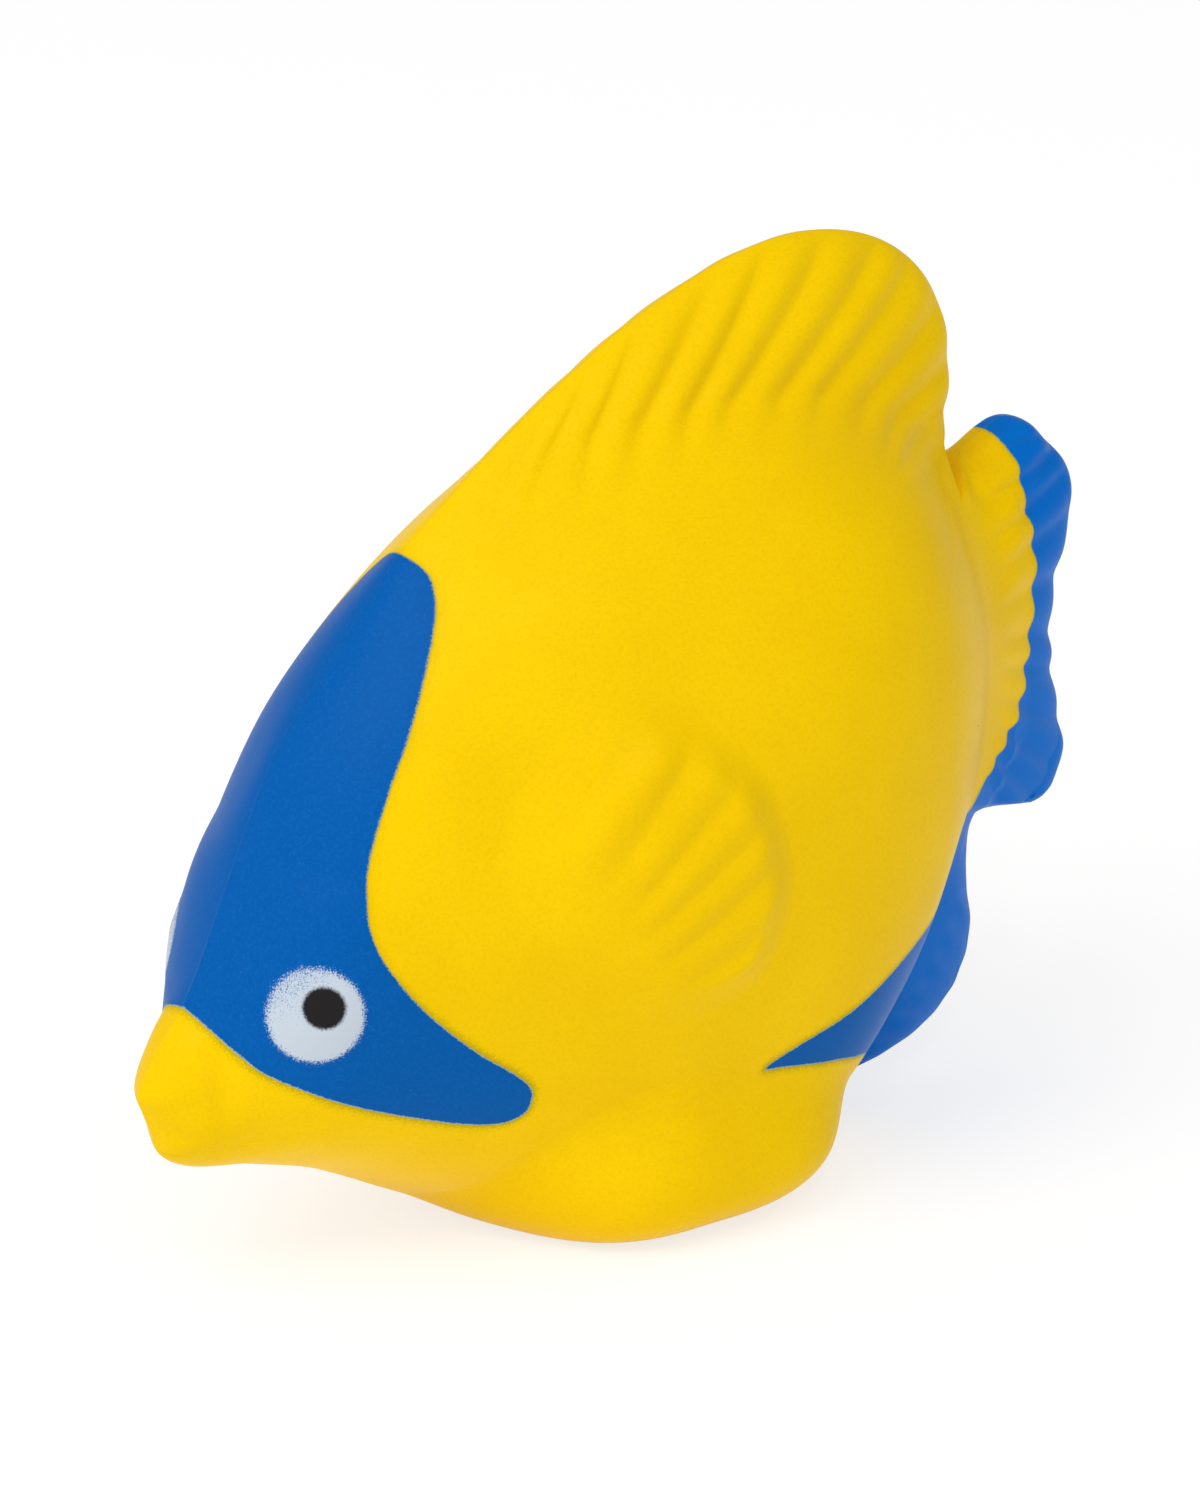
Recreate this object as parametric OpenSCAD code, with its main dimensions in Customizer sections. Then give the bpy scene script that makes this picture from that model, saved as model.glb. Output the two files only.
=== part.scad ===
// Tropical fish stress toy. A soft foam moulding made in two mirrored mould halves, with sprayed coats.
// Every solid is a half width, half(x, z), laid off to both sides of the middle plane y = 0.
// Nose towards -X, tail towards +X, the fish's left side towards -Y, sole at z = 0.

/* [Body] */
// Length from the lip to the tail's edge
fish_length = 100; // [85:1:120]
// Height from the sole to the top of the back fin
fish_height = 81.4; // [70:0.2:95]
// Width across the flanks, without the side fins
fish_width = 44.4; // [38:0.2:54]

/* [Foot] */
// Length of the foot that the toy stands on
foot_length = 36.8; // [30:0.4:40]
// Width of the foot at its widest level
foot_width = 42.4; // [36:0.2:48]
// Level of the foot's greatest width above the sole
foot_level = 4; // [3:0.5:7]
// Height of the line along which the foot meets the belly
foot_height = 12; // [10:0.5:14]
// Middle of the foot, ahead of (-) or behind (+) the middle of the fish
foot_x = -1.4; // [-3:0.2:3]
// How far the sole lies forward of the foot's top
foot_lean = 1.2; // [0:0.2:2]

/* [Fins] */
// Thickness of a fin just inside its rounded edge
fin_edge = 4.8; // [3:0.2:7]
// Thickness that a fin gains for each tenth of the way in to the body
fin_swell = 2.6; // [1:0.1:4]
// Height of the back fin above the line where it bends
dorsal_height = 14.7; // [11:0.1:18]
// Length of the tail behind the line where it bends
tail_length = 12.4; // [9:0.1:14]
// Depth of the grooves between fin rays
ray_depth = 0.5; // [0:0.05:0.9]
// Distance from ray to ray on the anal fin
anal_pitch = 4; // [3:0.1:8]
// Distance from ray to ray on a side fin
pectoral_pitch = 3.4; // [2:0.1:6]
// Length of a side fin
pectoral_length = 18.4; // [14:0.2:20]
// Height of a side fin
pectoral_height = 23; // [16:0.5:25]
// How far a side fin stands out from the flank
pectoral_rise = 1.6; // [0.8:0.1:3]

/* [Squeeze] */
// Length of the flank that gives under the palm
flank_length = 41; // [38:0.5:43]
// Height of the flank that gives under the palm
flank_height = 39; // [34:0.5:41]
// Distance of a flank's back from the middle plane
flank_back = 13; // [11:0.5:14]
// How far each flank sinks when squeezed
squeeze = 4.5; // [2:0.1:6]
// How far the back fin bends to each side, in degrees
dorsal_bend = 12; // [4:1:16]
// How far the tail bends to each side, in degrees
tail_bend = 20; // [5:1:25]

/* [Face and coats] */
// Diameter of the white of an eye
eye_size = 8.6; // [6:0.2:10]
// How far an eye stands out from the head
eye_rise = 0.8; // [0.4:0.1:1.6]
// Distance of the eye behind the lip
eye_back = 10.7; // [9:0.1:14]
// Height of the eye above the sole
eye_height = 27.5; // [24:0.5:31]
// Diameter of a pupil
pupil_size = 3.6; // [2:0.1:5]
// How far a pupil sits behind the middle of its eye
pupil_back = 0.5; // [0:0.1:1.2]
// How far a pupil sits above the middle of its eye
pupil_up = 0.7; // [0:0.1:1.2]
// Thickness of a sprayed coat
coat = 0.2; // [0.1:0.05:0.5]

/* [Fits] */
// Gap between parts that move past each other, and between the foot and the belly
run_gap = 0.3; // [0.2:0.05:0.5]
// Gap between parts that stay together
seat_gap = 0.1; // [0.05:0.05:0.2]
// Gap under a sprayed coat, which spans the small hollows of the skin
coat_gap = 0.4; // [0.3:0.05:0.5]
// Half width of the narrow land along the mould's parting line
land = 0.25; // [0.15:0.05:0.5]

/* [Hidden] */

YELLOW = "#F5CC00";
BLUE = "#0062B8";
WHITE = "#D9E5F2";
BLACK = "#222222";

// The three sizes of the fish that the profiles below are drawn at
DRAWN = [100, 81.4, 44.4];
sx = fish_length / DRAWN[0];
sz = fish_height / DRAWN[1];
sy = fish_width / DRAWN[2];

// Sections of the body: x, bottom, level of greatest width, top, half width, fullness of the upper half
SECTIONS = [
    [-50.4, 14, 17, 20, 0, 2], [-49.2, 13.3, 16.3, 21.4, 2.7, 0.9], [-46.5, 12.3, 17, 26.5, 4.9, 0.9],
    [-44.5, 11.8, 18, 30, 5.5, 1.3], [-42, 11, 23.5, 40, 7.9, 2], [-37, 9.2, 26, 45.4, 12, 2],
    [-30, 5.9, 28, 55.2, 14.7, 1.8], [-21, 2, 30, 62, 17.6, 1.6], [-10, -1, 34, 66.8, 20.6, 1.7],
    [2, -3, 37, 69.5, 22.2, 1.9], [12, -2, 40, 70, 22, 2], [21, 5.5, 42, 68, 19.6, 1.9],
    [28, 15, 43, 65, 15.4, 1.6], [33, 22, 43, 61.5, 10.5, 1.4], [37, 26, 43, 57, 5.6, 1.4],
    [40, 31, 43, 53, 0, 2]
];
// Outline of the middle plane, counted round from the brow by the lip, belly, tail and back
OUTLINE = [
    [-39.6, 38.6], [-43, 31], [-45.5, 26.2], [-48.2, 23], [-50, 19.5], [-49.6, 17.5],
    [-49.2, 15.7], [-48.3, 13.3], [-45.5, 12], [-40, 10.8], [-33, 8.5], [-24.5, 4],
    [-18, 0.4], [-13.5, -1.4], [-2, -2.1], [14, -0.8], [25, 1.6], [29.4, 2.5], [33.7, 4.2], [36.9, 6.8],
    [38.5, 9.7], [39.1, 12.8], [38.3, 18.2], [39, 24], [43, 23.6], [46.3, 22.9],
    [48.6, 24.6], [49.5, 27.3], [48.9, 30.7], [48, 34.7], [47.6, 39.6], [48.1, 44],
    [49.5, 48.5], [49.6, 53.4], [46.9, 57.6], [41.6, 60.1], [38, 59.4], [35.1, 58.2],
    [34.9, 62.8], [35.4, 67], [34.8, 71], [32, 75.9], [27, 79.5], [19.5, 81.3],
    [12.6, 80.7], [4.4, 78.1], [-6, 72.9], [-15.7, 66.6], [-24, 60.1], [-29.5, 54], [-36, 46]
];
// Grooves between the rays of the back fin, from front to rear: where each starts, and a place further out
DORSAL_GROOVES = [
    [[-12.3, 65.2], [-5.9, 71.8]], [[-8, 66], [-2, 73]], [[-2.9, 67.4], [6.7, 77.3]],
    [[2.3, 68.5], [13.5, 79.6]], [[6.6, 69], [17.5, 77.8]], [[11.3, 68.7], [24.2, 77.4]],
    [[15.8, 68.1], [27.2, 74.7]], [[20, 66.4], [29.4, 70.5]], [[22.5, 64.4], [30, 66.2]]
];
// Grooves between the rays of the tail, from its top down
TAIL_GROOVES = [
    [[35.1, 56.9], [40.3, 57.6]], [[36.4, 54.4], [41.4, 55.2]], [[37.2, 51.4], [41.6, 52.3]],
    [[37.5, 48.5], [42.2, 49]], [[37, 45.3], [42.4, 44.9]], [[37.3, 42.1], [42.2, 40.6]],
    [[37.6, 39.4], [41.5, 37.8]], [[37.7, 36.5], [40.7, 34.8]], [[37.4, 33.8], [40, 31.9]],
    [[37, 31], [40, 28.4]], [[36.8, 28], [40, 24.6]]
];
// Lower edge of the mask from the bridge of the snout back to its rear tip
MASK_LOWER = [[-44.6, 25], [-41.4, 21.5], [-33, 17.5], [-24.8, 14.9], [-21.4, 16.2]];
// Rear edge of the mask from the forehead down to the same tip
MASK_REAR = [
    [-22.6, 59.8], [-25.5, 53.9], [-29.6, 47.6], [-34, 38.6], [-34.4, 33], [-29.6, 25.5], [-21.2, 17.8]
];
// Upper and lower edges of the blue on the rear belly, from its front tip to the anal fin
REAR_UPPER = [[2, 15.6], [10, 18], [20, 21.6], [30, 23.6], [35.6, 24]];
REAR_LOWER = [[2, 14.4], [7.7, 13.6], [13, 12.6], [19.6, 7.6], [24.4, 3.8]];
// Front edge of the tail's blue band, from the lower corner up
BAND_FRONT = [
    [41, 25], [41.2, 30], [41.6, 35], [42.4, 40], [42.8, 45], [42.6, 49], [42.2, 53], [41.4, 56.4],
    [40.2, 59]
];
// The fish's middle, which the outline and the rings of points run round
MIDDLE = [2, 39];
// The line along which the anal fin meets the belly, from its front to its rear end
ANAL_ROOT = [[24, 2], [38, 22]];
// Rear and front ends of the back fin's root, and lower and upper ends of the tail's root
DORSAL_ENDS = [34.6, -14];
TAIL_ENDS = [24.6, 59];
// Share of a fin's thickness that the middle plane keeps, over the angle round the fish's middle
face_web = 0.25;
WEB = [[-180, face_web], [-60, face_web], [-48, 1], [120, 1], [140, face_web], [180, face_web]];

mid_x = MIDDLE[0] * sx;
mid_z = MIDDLE[1] * sz;
chord = fish_height - dorsal_height;
tail_root = fish_length / 2 - tail_length;
pocket_floor = flank_back - squeeze - run_gap;
// The foot is cut from the trunk between two angles, along a line that turns down at its ends
foot_from = -125;
foot_to = -65;
foot_end = 0.12;
foot_corner = 6;
// Shape of the foot's dome: roundness in plan, and how far it runs above and below its widest level
foot_round = 3;
foot_above = foot_height + 5.5 - foot_level;
foot_below = 16;
lean_level = 8;
// Roundness of the edge along the parting line, and of the lower half of the body
edge_power = 14;
lower_round = 2.2;
// Widths, squared, over which the foot runs into the body, in front and behind, and the fins into both
FOOT_BLEND = [[-6, 300], [14, 110]];
fin_blend = 50;
// Squared half widths that stand for no body at all
off_ends = -20;
off_sides = -200;
// Slant of the side fins' rays, and the distance over which the rays of the other fins fade in
pectoral_slant = 60;
ray_fade = 4.5;
fin_start = 1.5;
anal_end = 2;
// Side fins: middle, roundness of the edge, and the share of the rise that is left at the front
pectoral_at = [-8 * sx, 36 * sz];
pectoral_edge = 4;
pectoral_front = 0.25;
eye_at = [eye_back - fish_length / 2, eye_height];
// A coat stops short of the parting line, and the mask follows the brow for part of its front edge
coat_reach = 0.99;
brow_share = 0.6;
mask_end = 2;
turn_steps = 72;
turn_from = -175;
far = 1000;
graze = 0.01;
// Step over which the skin's slope is taken
probe = 0.05;

function mix(a, b, t) = a + (b - a) * t;
function clamp01(t) = min(max(t, 0), 1);
function smooth_max(a, b, k) = let (t = clamp01(0.5 + 0.5 * (a - b) / k)) mix(b, a, t) + k * t * (1 - t);
function stretch(p) = [for (q = p) [q[0] * sx, q[1] * sz]];

// Smooth curve through rows sorted by their first value, with slopes from each row's two neighbours
function slopes(p) = [
    for (i = [0 : len(p) - 1])
        let (a = max(i - 1, 0), b = min(i + 1, len(p) - 1))
        (p[b] - p[a]) / (p[b][0] - p[a][0])
];
function span(p, x, i = 0) = (i >= len(p) - 2 || x < p[i + 1][0]) ? i : span(p, x, i + 1);
function curve(p, m, x) =
    let (i = span(p, x), w = p[i + 1][0] - p[i][0], t = (x - p[i][0]) / w)
    (1 + 2 * t) * (1 - t) ^ 2 * p[i] + t * (1 - t) ^ 2 * w * m[i]
        + t ^ 2 * (3 - 2 * t) * p[i + 1] + t ^ 2 * (t - 1) * w * m[i + 1];

// Point at a share t of the way along a hand-drawn edge
function along(p, t) =
    let (last = len(p) - 1, rows = [for (i = [0 : last]) [i, p[i][0], p[i][1]]])
    let (q = curve(rows, slopes(rows), t * last))
    [q[1], q[2]];

// The outline as a radius over the angle round the fish's middle
ROUND = [for (p = stretch(OUTLINE)) let (d = p - [mid_x, mid_z]) [atan2(d[1], d[0]), norm(d)]];
LAST = len(ROUND) - 1;
RIM = concat([ROUND[LAST] - [360, 0]], ROUND, [ROUND[0] + [360, 0], ROUND[1] + [360, 0]]);
RIM_SLOPES = slopes(RIM);
function wrapped(a) = a < ROUND[0][0] ? a + 360 : a;
function rim(a) = curve(RIM, RIM_SLOPES, wrapped(a))[1];
function at(a, r) = [mid_x + r * cos(a), mid_z + r * sin(a)];
function angle_of(p) = atan2(p[1] - mid_z, p[0] - mid_x);
function share(p) = min(norm(p - [mid_x, mid_z]) / rim(angle_of(p)), 1);

// Squared half widths: the body between its sections, the foot as a flattened dome, and the thin fins
BODY = [for (s = SECTIONS) [s[0] * sx, s[1] * sz, s[2] * sz, s[3] * sz, (s[4] * sy) ^ 2, s[5]]];
BODY_SLOPES = slopes(BODY);
nose_x = BODY[0][0];
rump_x = BODY[len(BODY) - 1][0];
function body_square(p) =
    let (s = curve(BODY, BODY_SLOPES, min(max(p[0], nose_x), rump_x)))
    let (up = p[1] > s[2], t = abs(p[1] - s[2]) / (up ? s[3] - s[2] : s[2] - s[1]))
    let (round_by = up ? s[5] : lower_round)
    (p[0] < nose_x || p[0] > rump_x) ? off_ends : max(s[4] * (1 - t ^ round_by), off_sides);
function foot_square(p) =
    let (middle = foot_x + foot_lean * (p[1] / lean_level - 1))
    let (t = abs(p[0] - middle) / (foot_length / 2), d = p[1] - foot_level)
    (foot_width / 2) ^ 2 * (1 - t ^ foot_round - (d / (d > 0 ? foot_above : foot_below)) ^ 2);
function fin_half(p) = lookup(angle_of(p), WEB) * (fin_edge + 10 * fin_swell * (1 - share(p))) / 2;
function half(p) =
    let (swell = smooth_max(body_square(p), foot_square(p), lookup(p[0], FOOT_BLEND)))
    let (all = smooth_max(swell, fin_half(p) ^ 2, fin_blend) * (1 - share(p) ^ edge_power))
    max(sqrt(max(all, 0)), land);

// Where a ray from the middle meets the lines along which the fins and the foot are cut from the trunk
function to_chord(a, gap = 0) = sin(a) > graze ? (chord + gap - mid_z) / sin(a) : far;
function to_tail(a, gap = 0) = cos(a) > graze ? (tail_root + gap - mid_x) / cos(a) : far;
function to_anal(a, gap = 0) =
    let (p = stretch(ANAL_ROOT), d = p[1] - p[0], n = [d[1], -d[0]] / norm(d), c = n * [cos(a), sin(a)])
    c > graze ? (n * (p[0] - [mid_x, mid_z]) + gap) / c : far;
function to_sole(a) = sin(a) < -graze ? -mid_z / sin(a) : far;
function in_foot(a) = a > foot_from - graze && a < foot_to + graze;
function to_foot(a) =
    let (t = 2 * (a - foot_from) / (foot_to - foot_from) - 1, flat = (foot_height - mid_z) / sin(a))
    mix(min(rim(a), to_sole(a)), flat, max(1 - t ^ foot_corner, foot_end));
function reach(a) =
    min(in_foot(a) ? to_foot(a) : min(rim(a), to_sole(a)), to_chord(a), to_tail(a), to_anal(a));
function oval(a, gap = 0) =
    1 / norm([cos(a) / (flank_length / 2 - gap), sin(a) / (flank_height / 2 - gap)]);

// Closed skin over a row of rings from one pole to the other
module skin(pole_a, rings, pole_b) {
    n = len(rings[0]);
    m = len(rings);
    points = concat([pole_a], [for (r = rings) each r], [pole_b]);
    top = 1 + n * m;
    function id(j, i) = 1 + j * n + i % n;
    faces = concat(
        [for (i = [0 : n - 1]) [0, id(0, i + 1), id(0, i)]],
        [for (j = [0 : m - 2], i = [0 : n - 1]) each [
            [id(j, i), id(j + 1, i + 1), id(j + 1, i)],
            [id(j, i), id(j, i + 1), id(j + 1, i + 1)]
        ]],
        [for (i = [0 : n - 1]) [top, id(m - 1, i), id(m - 1, i + 1)]]
    );
    polyhedron(points, faces);
}

// Closed slab between two grids of points, with an optional keel along the wall of the first column
module slab(grid_a, grid_b, keel = []) {
    nu = len(grid_a) - 1;
    nv = len(grid_a[0]) - 1;
    points = concat([for (r = grid_a) each r], [for (r = grid_b) each r], keel);
    b0 = (nu + 1) * (nv + 1);
    k0 = 2 * b0;
    keeled = len(keel) > 0;
    function a(i, j) = i * (nv + 1) + j;
    function b(i, j) = b0 + a(i, j);
    function wall(p, q, r, s) = [[p, r, q], [p, s, r]];
    cells = [for (i = [0 : nu - 1], j = [0 : nv - 1]) [i, j]];
    function over(i, j) = wall(a(i, j), a(i, j + 1), a(i + 1, j + 1), a(i + 1, j));
    function under(i, j) = wall(b(i, j), b(i + 1, j), b(i + 1, j + 1), b(i, j + 1));
    faces = concat(
        [for (c = cells) each over(c[0], c[1])],
        [for (c = cells) each under(c[0], c[1])],
        [for (i = [0 : nu - 1]) each wall(a(i, nv), b(i, nv), b(i + 1, nv), a(i + 1, nv))],
        [for (j = [0 : nv - 1]) each wall(a(0, j), b(0, j), b(0, j + 1), a(0, j + 1))],
        [for (j = [0 : nv - 1]) each wall(a(nu, j), a(nu, j + 1), b(nu, j + 1), b(nu, j))],
        keeled ? [for (i = [0 : nu - 1]) each concat(
            wall(a(i, 0), a(i + 1, 0), k0 + i + 1, k0 + i),
            wall(k0 + i, k0 + i + 1, b(i + 1, 0), b(i, 0))
        )] : [for (i = [0 : nu - 1]) each wall(a(i, 0), a(i + 1, 0), b(i + 1, 0), b(i, 0))],
        keeled ? [[a(0, 0), b(0, 0), k0], [a(nu, 0), k0 + nu, b(nu, 0)]] : []
    );
    polyhedron(points, faces);
}

// A place on the middle plane with a distance to the side, and a point off the left skin along its normal
function lift(p, y) = [p[0], y, p[1]];
function steepness(p) =
    let (along_x = half(p + [probe, 0]) - half(p - [probe, 0]))
    let (along_z = half(p + [0, probe]) - half(p - [0, probe]))
    [along_x, along_z] / (2 * probe);
function off_skin(p, gap) =
    let (g = steepness(p), n = [g[0], 1, g[1]])
    lift(p, -half(p)) - gap * n / norm(n);

// Rings and grids of points
function turn_angles(n) = [for (i = [0 : n - 1]) turn_from + 360 * i / n];
function ring(n, radius, side) = [for (a = turn_angles(n)) let (p = at(a, radius(a))) lift(p, side(p))];
function round_in(j, n) = sin(90 * j / n);
function grid(nu, nv, place, point) =
    [for (i = [0 : nu]) [for (j = [0 : nv]) point(place(i / nu, round_in(j, nv)))]];
function rays(s, pitch) = ray_depth / 2 * (1 - cos(360 * s / pitch));

// Drawn grooves: how far a place lies past one, how many it lies past with fractions, and their depth
function past(p, line) =
    let (d = line[1] - line[0])
    ((p[0] - line[0][0]) * d[1] - (p[1] - line[0][1]) * d[0]) / norm(d);
function past_count(p, lines, i = 0) =
    let (a = past(p, lines[i]), b = past(p, lines[i + 1]), t = clamp01(a / max(a - b, graze)))
    i + 2 == len(lines) || t < 1 ? i + t : past_count(p, lines, i + 1);
function drawn_rays(p, lines) = ray_depth * cos(180 * past_count(p, lines)) ^ 2;

// Fin between two angles, from its root radius out to the outline, grooved between its rays
module fin(a0, a1, nu, nv, root, groove, keel = []) {
    place = function (u, v) let (a = mix(a0, a1, u)) at(a, mix(root(a), rim(a), v));
    side = function (p) max(half(p) - groove(p) * (1 - share(p) ^ edge_power), land);
    slab(
        grid(nu, nv, place, function (p) lift(p, -side(p))),
        grid(nu, nv, place, function (p) lift(p, side(p))),
        keel
    );
}

// Sprayed coat on the skin over a patch of places
module sprayed(nu, nv, place) {
    color(BLUE) slab(
        grid(nu, nv, place, function (p) off_skin(p, coat_gap + coat)),
        grid(nu, nv, place, function (p) off_skin(p, coat_gap))
    );
}

// Raised layer on the skin, over an oval round a place
module round_layer(n, m, middle, rx, rz, inner, outer) {
    place = function (a, t) middle + t * [rx * cos(a), rz * sin(a)];
    point = function (a, t, rise) let (p = place(a, t)) off_skin(p, rise(p, t));
    rings = function (rise, order) [for (j = order) [for (a = turn_angles(n)) point(a, j / m, rise)]];
    skin(
        off_skin(middle, outer(middle, 0)),
        concat(rings(outer, [1 : m]), rings(inner, [m : -1 : 1])),
        off_skin(middle, inner(middle, 0))
    );
}

module right_hand() mirror([0, 1, 0]) children();

// Body with head and snout, cut flat where the fins and the foot join, with a pocket for each flank
module trunk() {
    steps = 9;
    out = function (t) function (a) mix(oval(a), reach(a), sin(90 * t / steps));
    left = concat(
        [ring(turn_steps, function (a) oval(a), function (p) -pocket_floor)],
        [for (t = [0 : steps]) ring(turn_steps, out(t), function (p) -half(p))]
    );
    right = [for (j = [len(left) - 1 : -1 : 0]) [for (q = left[j]) [q[0], -q[1], q[2]]]];
    pole = [mid_x, mid_z];
    color(YELLOW) skin(lift(pole, -pocket_floor), concat(left, right), lift(pole, pocket_floor));
}

// Foot with the pelvic fins moulded into its sides, cut flat underneath
module pelvic_foot() {
    nu = 30;
    nv = 8;
    below = 1;
    place = function (u, v)
        let (a = mix(foot_from, foot_to, u))
        at(a, mix(to_foot(a) + run_gap, min(rim(a), to_sole(a) - below / sin(a)), v));
    color(YELLOW) intersection() {
        slab(
            grid(nu, nv, place, function (p) lift(p, -half(p))),
            grid(nu, nv, place, function (p) lift(p, half(p)))
        );
        translate([-fish_length / 2, -foot_width, 0])
            cube([fish_length, 2 * foot_width, 2 * foot_height]);
    }
}

// Anal fin under the tail
module anal_fin() {
    p = stretch(ANAL_ROOT);
    d = (p[1] - p[0]) / norm(p[1] - p[0]);
    color(BLUE) fin(
        angle_of(p[0]) + anal_end, angle_of(p[1]) - anal_end, 28, 6,
        function (a) to_anal(a, seat_gap),
        function (q) rays((q - p[0]) * d, anal_pitch)
    );
}

// Back fin, with a keel that it rocks on and sides cut back so that it clears the trunk
module dorsal_fin() {
    nu = 60;
    a0 = angle_of([DORSAL_ENDS[0] * sx, chord + fin_start]);
    a1 = angle_of([DORSAL_ENDS[1] * sx, chord + fin_start]);
    relief = function (a) half(at(a, to_chord(a))) * tan(dorsal_bend);
    keel = [for (i = [0 : nu]) let (a = mix(a0, a1, i / nu)) lift(at(a, to_chord(a, run_gap)), 0)];
    grooves = [for (line = DORSAL_GROOVES) stretch(line)];
    color(YELLOW) fin(
        a0, a1, nu, 7,
        function (a) to_chord(a, run_gap + relief(a)),
        function (p) drawn_rays(p, grooves) * clamp01((p[1] - chord) / ray_fade),
        keel
    );
}

// Tail fin, with an upright keel that it swings on
module tail_fin() {
    nu = 52;
    a0 = angle_of([tail_root + fin_start, TAIL_ENDS[0] * sz]);
    a1 = angle_of([tail_root + fin_start, TAIL_ENDS[1] * sz]);
    relief = function (a) half(at(a, to_tail(a))) * tan(tail_bend);
    keel = [for (i = [0 : nu]) let (a = mix(a0, a1, i / nu)) lift(at(a, to_tail(a, run_gap)), 0)];
    grooves = [for (line = TAIL_GROOVES) stretch(line)];
    color(YELLOW) fin(
        a0, a1, nu, 7,
        function (a) to_tail(a, run_gap + relief(a)),
        function (p) drawn_rays(p, grooves) * clamp01((p[0] - tail_root) / ray_fade),
        keel
    );
}

// Flank that the palm presses: the outer skin of the body over an oval, flat at its back
module flank_left() {
    steps = 6;
    edge = function (a) oval(a, run_gap);
    part_way = function (t) function (a) edge(a) * t;
    outer = [for (j = [1 : steps]) ring(turn_steps, part_way(j / steps), function (p) -half(p))];
    back = ring(turn_steps, edge, function (p) -flank_back);
    pole = [mid_x, mid_z];
    color(YELLOW) skin(lift(pole, -half(pole)), concat(outer, [back]), lift(pole, -flank_back));
}
module flank_right() right_hand() flank_left();

// Soft foam between the trunk and a flank, which closes up when the flank is pressed
module flank_foam_left() {
    edge = function (a) oval(a, run_gap);
    outer = flank_back - seat_gap;
    inner = pocket_floor + seat_gap;
    color(YELLOW) skin(
        lift([mid_x, mid_z], -outer),
        [ring(turn_steps, edge, function (p) -outer), ring(turn_steps, edge, function (p) -inner)],
        lift([mid_x, mid_z], -inner)
    );
}
module flank_foam_right() right_hand() flank_foam_left();

// Side fin in relief on the flank, fading out to the front
module pectoral_fin_left() {
    across = [cos(pectoral_slant), -sin(pectoral_slant)];
    fade = function (t) 1 - t ^ pectoral_edge;
    rise = function (p, t)
        let (back = (p[0] - pectoral_at[0]) / pectoral_length + 0.5)
        pectoral_rise * fade(t) * min(mix(pectoral_front, 1, back), 1);
    groove = function (p, t) rays(p * across, pectoral_pitch) * fade(t);
    color(YELLOW) round_layer(
        32, 6, pectoral_at, pectoral_length / 2, pectoral_height / 2,
        function (p, t) seat_gap,
        function (p, t) seat_gap + coat + max(rise(p, t) - groove(p, t), 0)
    );
}
module pectoral_fin_right() right_hand() pectoral_fin_left();

// Raised eye, which lies on the mask's coat
eye_seat = coat_gap + coat + coat_gap;
function eye_swell(t) = eye_seat + coat + eye_rise * (1 - t ^ 2);
module eye_left() {
    radius = eye_size / 2;
    color(WHITE) round_layer(
        28, 5, eye_at, radius, radius,
        function (p, t) eye_seat,
        function (p, t) eye_swell(t)
    );
}
module eye_right() right_hand() eye_left();

// Pupil on the eye
module pupil_left() {
    middle = eye_at + [pupil_back, pupil_up];
    radius = pupil_size / 2;
    over = function (p) eye_swell(min(norm(p - eye_at) / (eye_size / 2), 1)) + seat_gap;
    color(BLACK) round_layer(
        20, 2, middle, radius, radius,
        function (p, t) over(p),
        function (p, t) over(p) + coat
    );
}
module pupil_right() right_hand() pupil_left();

// Blue mask over brow and cheek, from the forehead's parting line back to its rear edge
module mask_coat_left() {
    lower = stretch(MASK_LOWER);
    rear = stretch(MASK_REAR);
    top = angle_of(rear[0]) - mask_end;
    snout = angle_of(lower[0]) + 360;
    brow = function (u)
        let (a = mix(top, snout, u))
        at(a, coat_reach * rim(a > 180 ? a - 360 : a));
    cheek = function (u) along(lower, (u - brow_share) / (1 - brow_share));
    front = function (u) u < brow_share ? brow(u / brow_share) : cheek(u);
    place = function (u, v) mix(along(rear, u), front(u), v);
    sprayed(24, 8, place);
}
module mask_coat_right() right_hand() mask_coat_left();

// Blue on the rear belly, which runs into the anal fin
module rear_coat_left() {
    place = function (u, v) mix(along(stretch(REAR_UPPER), u), along(stretch(REAR_LOWER), u), v);
    sprayed(14, 12, place);
}
module rear_coat_right() right_hand() rear_coat_left();

// Blue band along the tail's edge
module tail_band_left() {
    place = function (u, v)
        let (p = along(stretch(BAND_FRONT), u), a = angle_of(p))
        mix(p, at(a, coat_reach * rim(a)), v);
    sprayed(36, 3, place);
}
module tail_band_right() right_hand() tail_band_left();

trunk();
pelvic_foot();
anal_fin();
dorsal_fin();
tail_fin();
flank_left();
flank_right();
flank_foam_left();
flank_foam_right();
pectoral_fin_left();
pectoral_fin_right();
eye_left();
eye_right();
pupil_left();
pupil_right();
mask_coat_left();
mask_coat_right();
rear_coat_left();
rear_coat_right();
tail_band_left();
tail_band_right();
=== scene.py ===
"""Looks for a soft foam tropical fish that is squeezed in a hand.

The fish is one foam skin, sprayed through stencils. Its surface is a half width over the middle plane,
laid off to both sides, and every piece is a stretch of that surface between lines on the middle plane.
Lengths are in millimetres on the middle plane (x towards the tail, z up) and in metres in the scene.
A fade is two places: one where it is still nothing, and one where it is full.
"""

from functools import partial
from math import cos, pi, radians, sin

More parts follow.
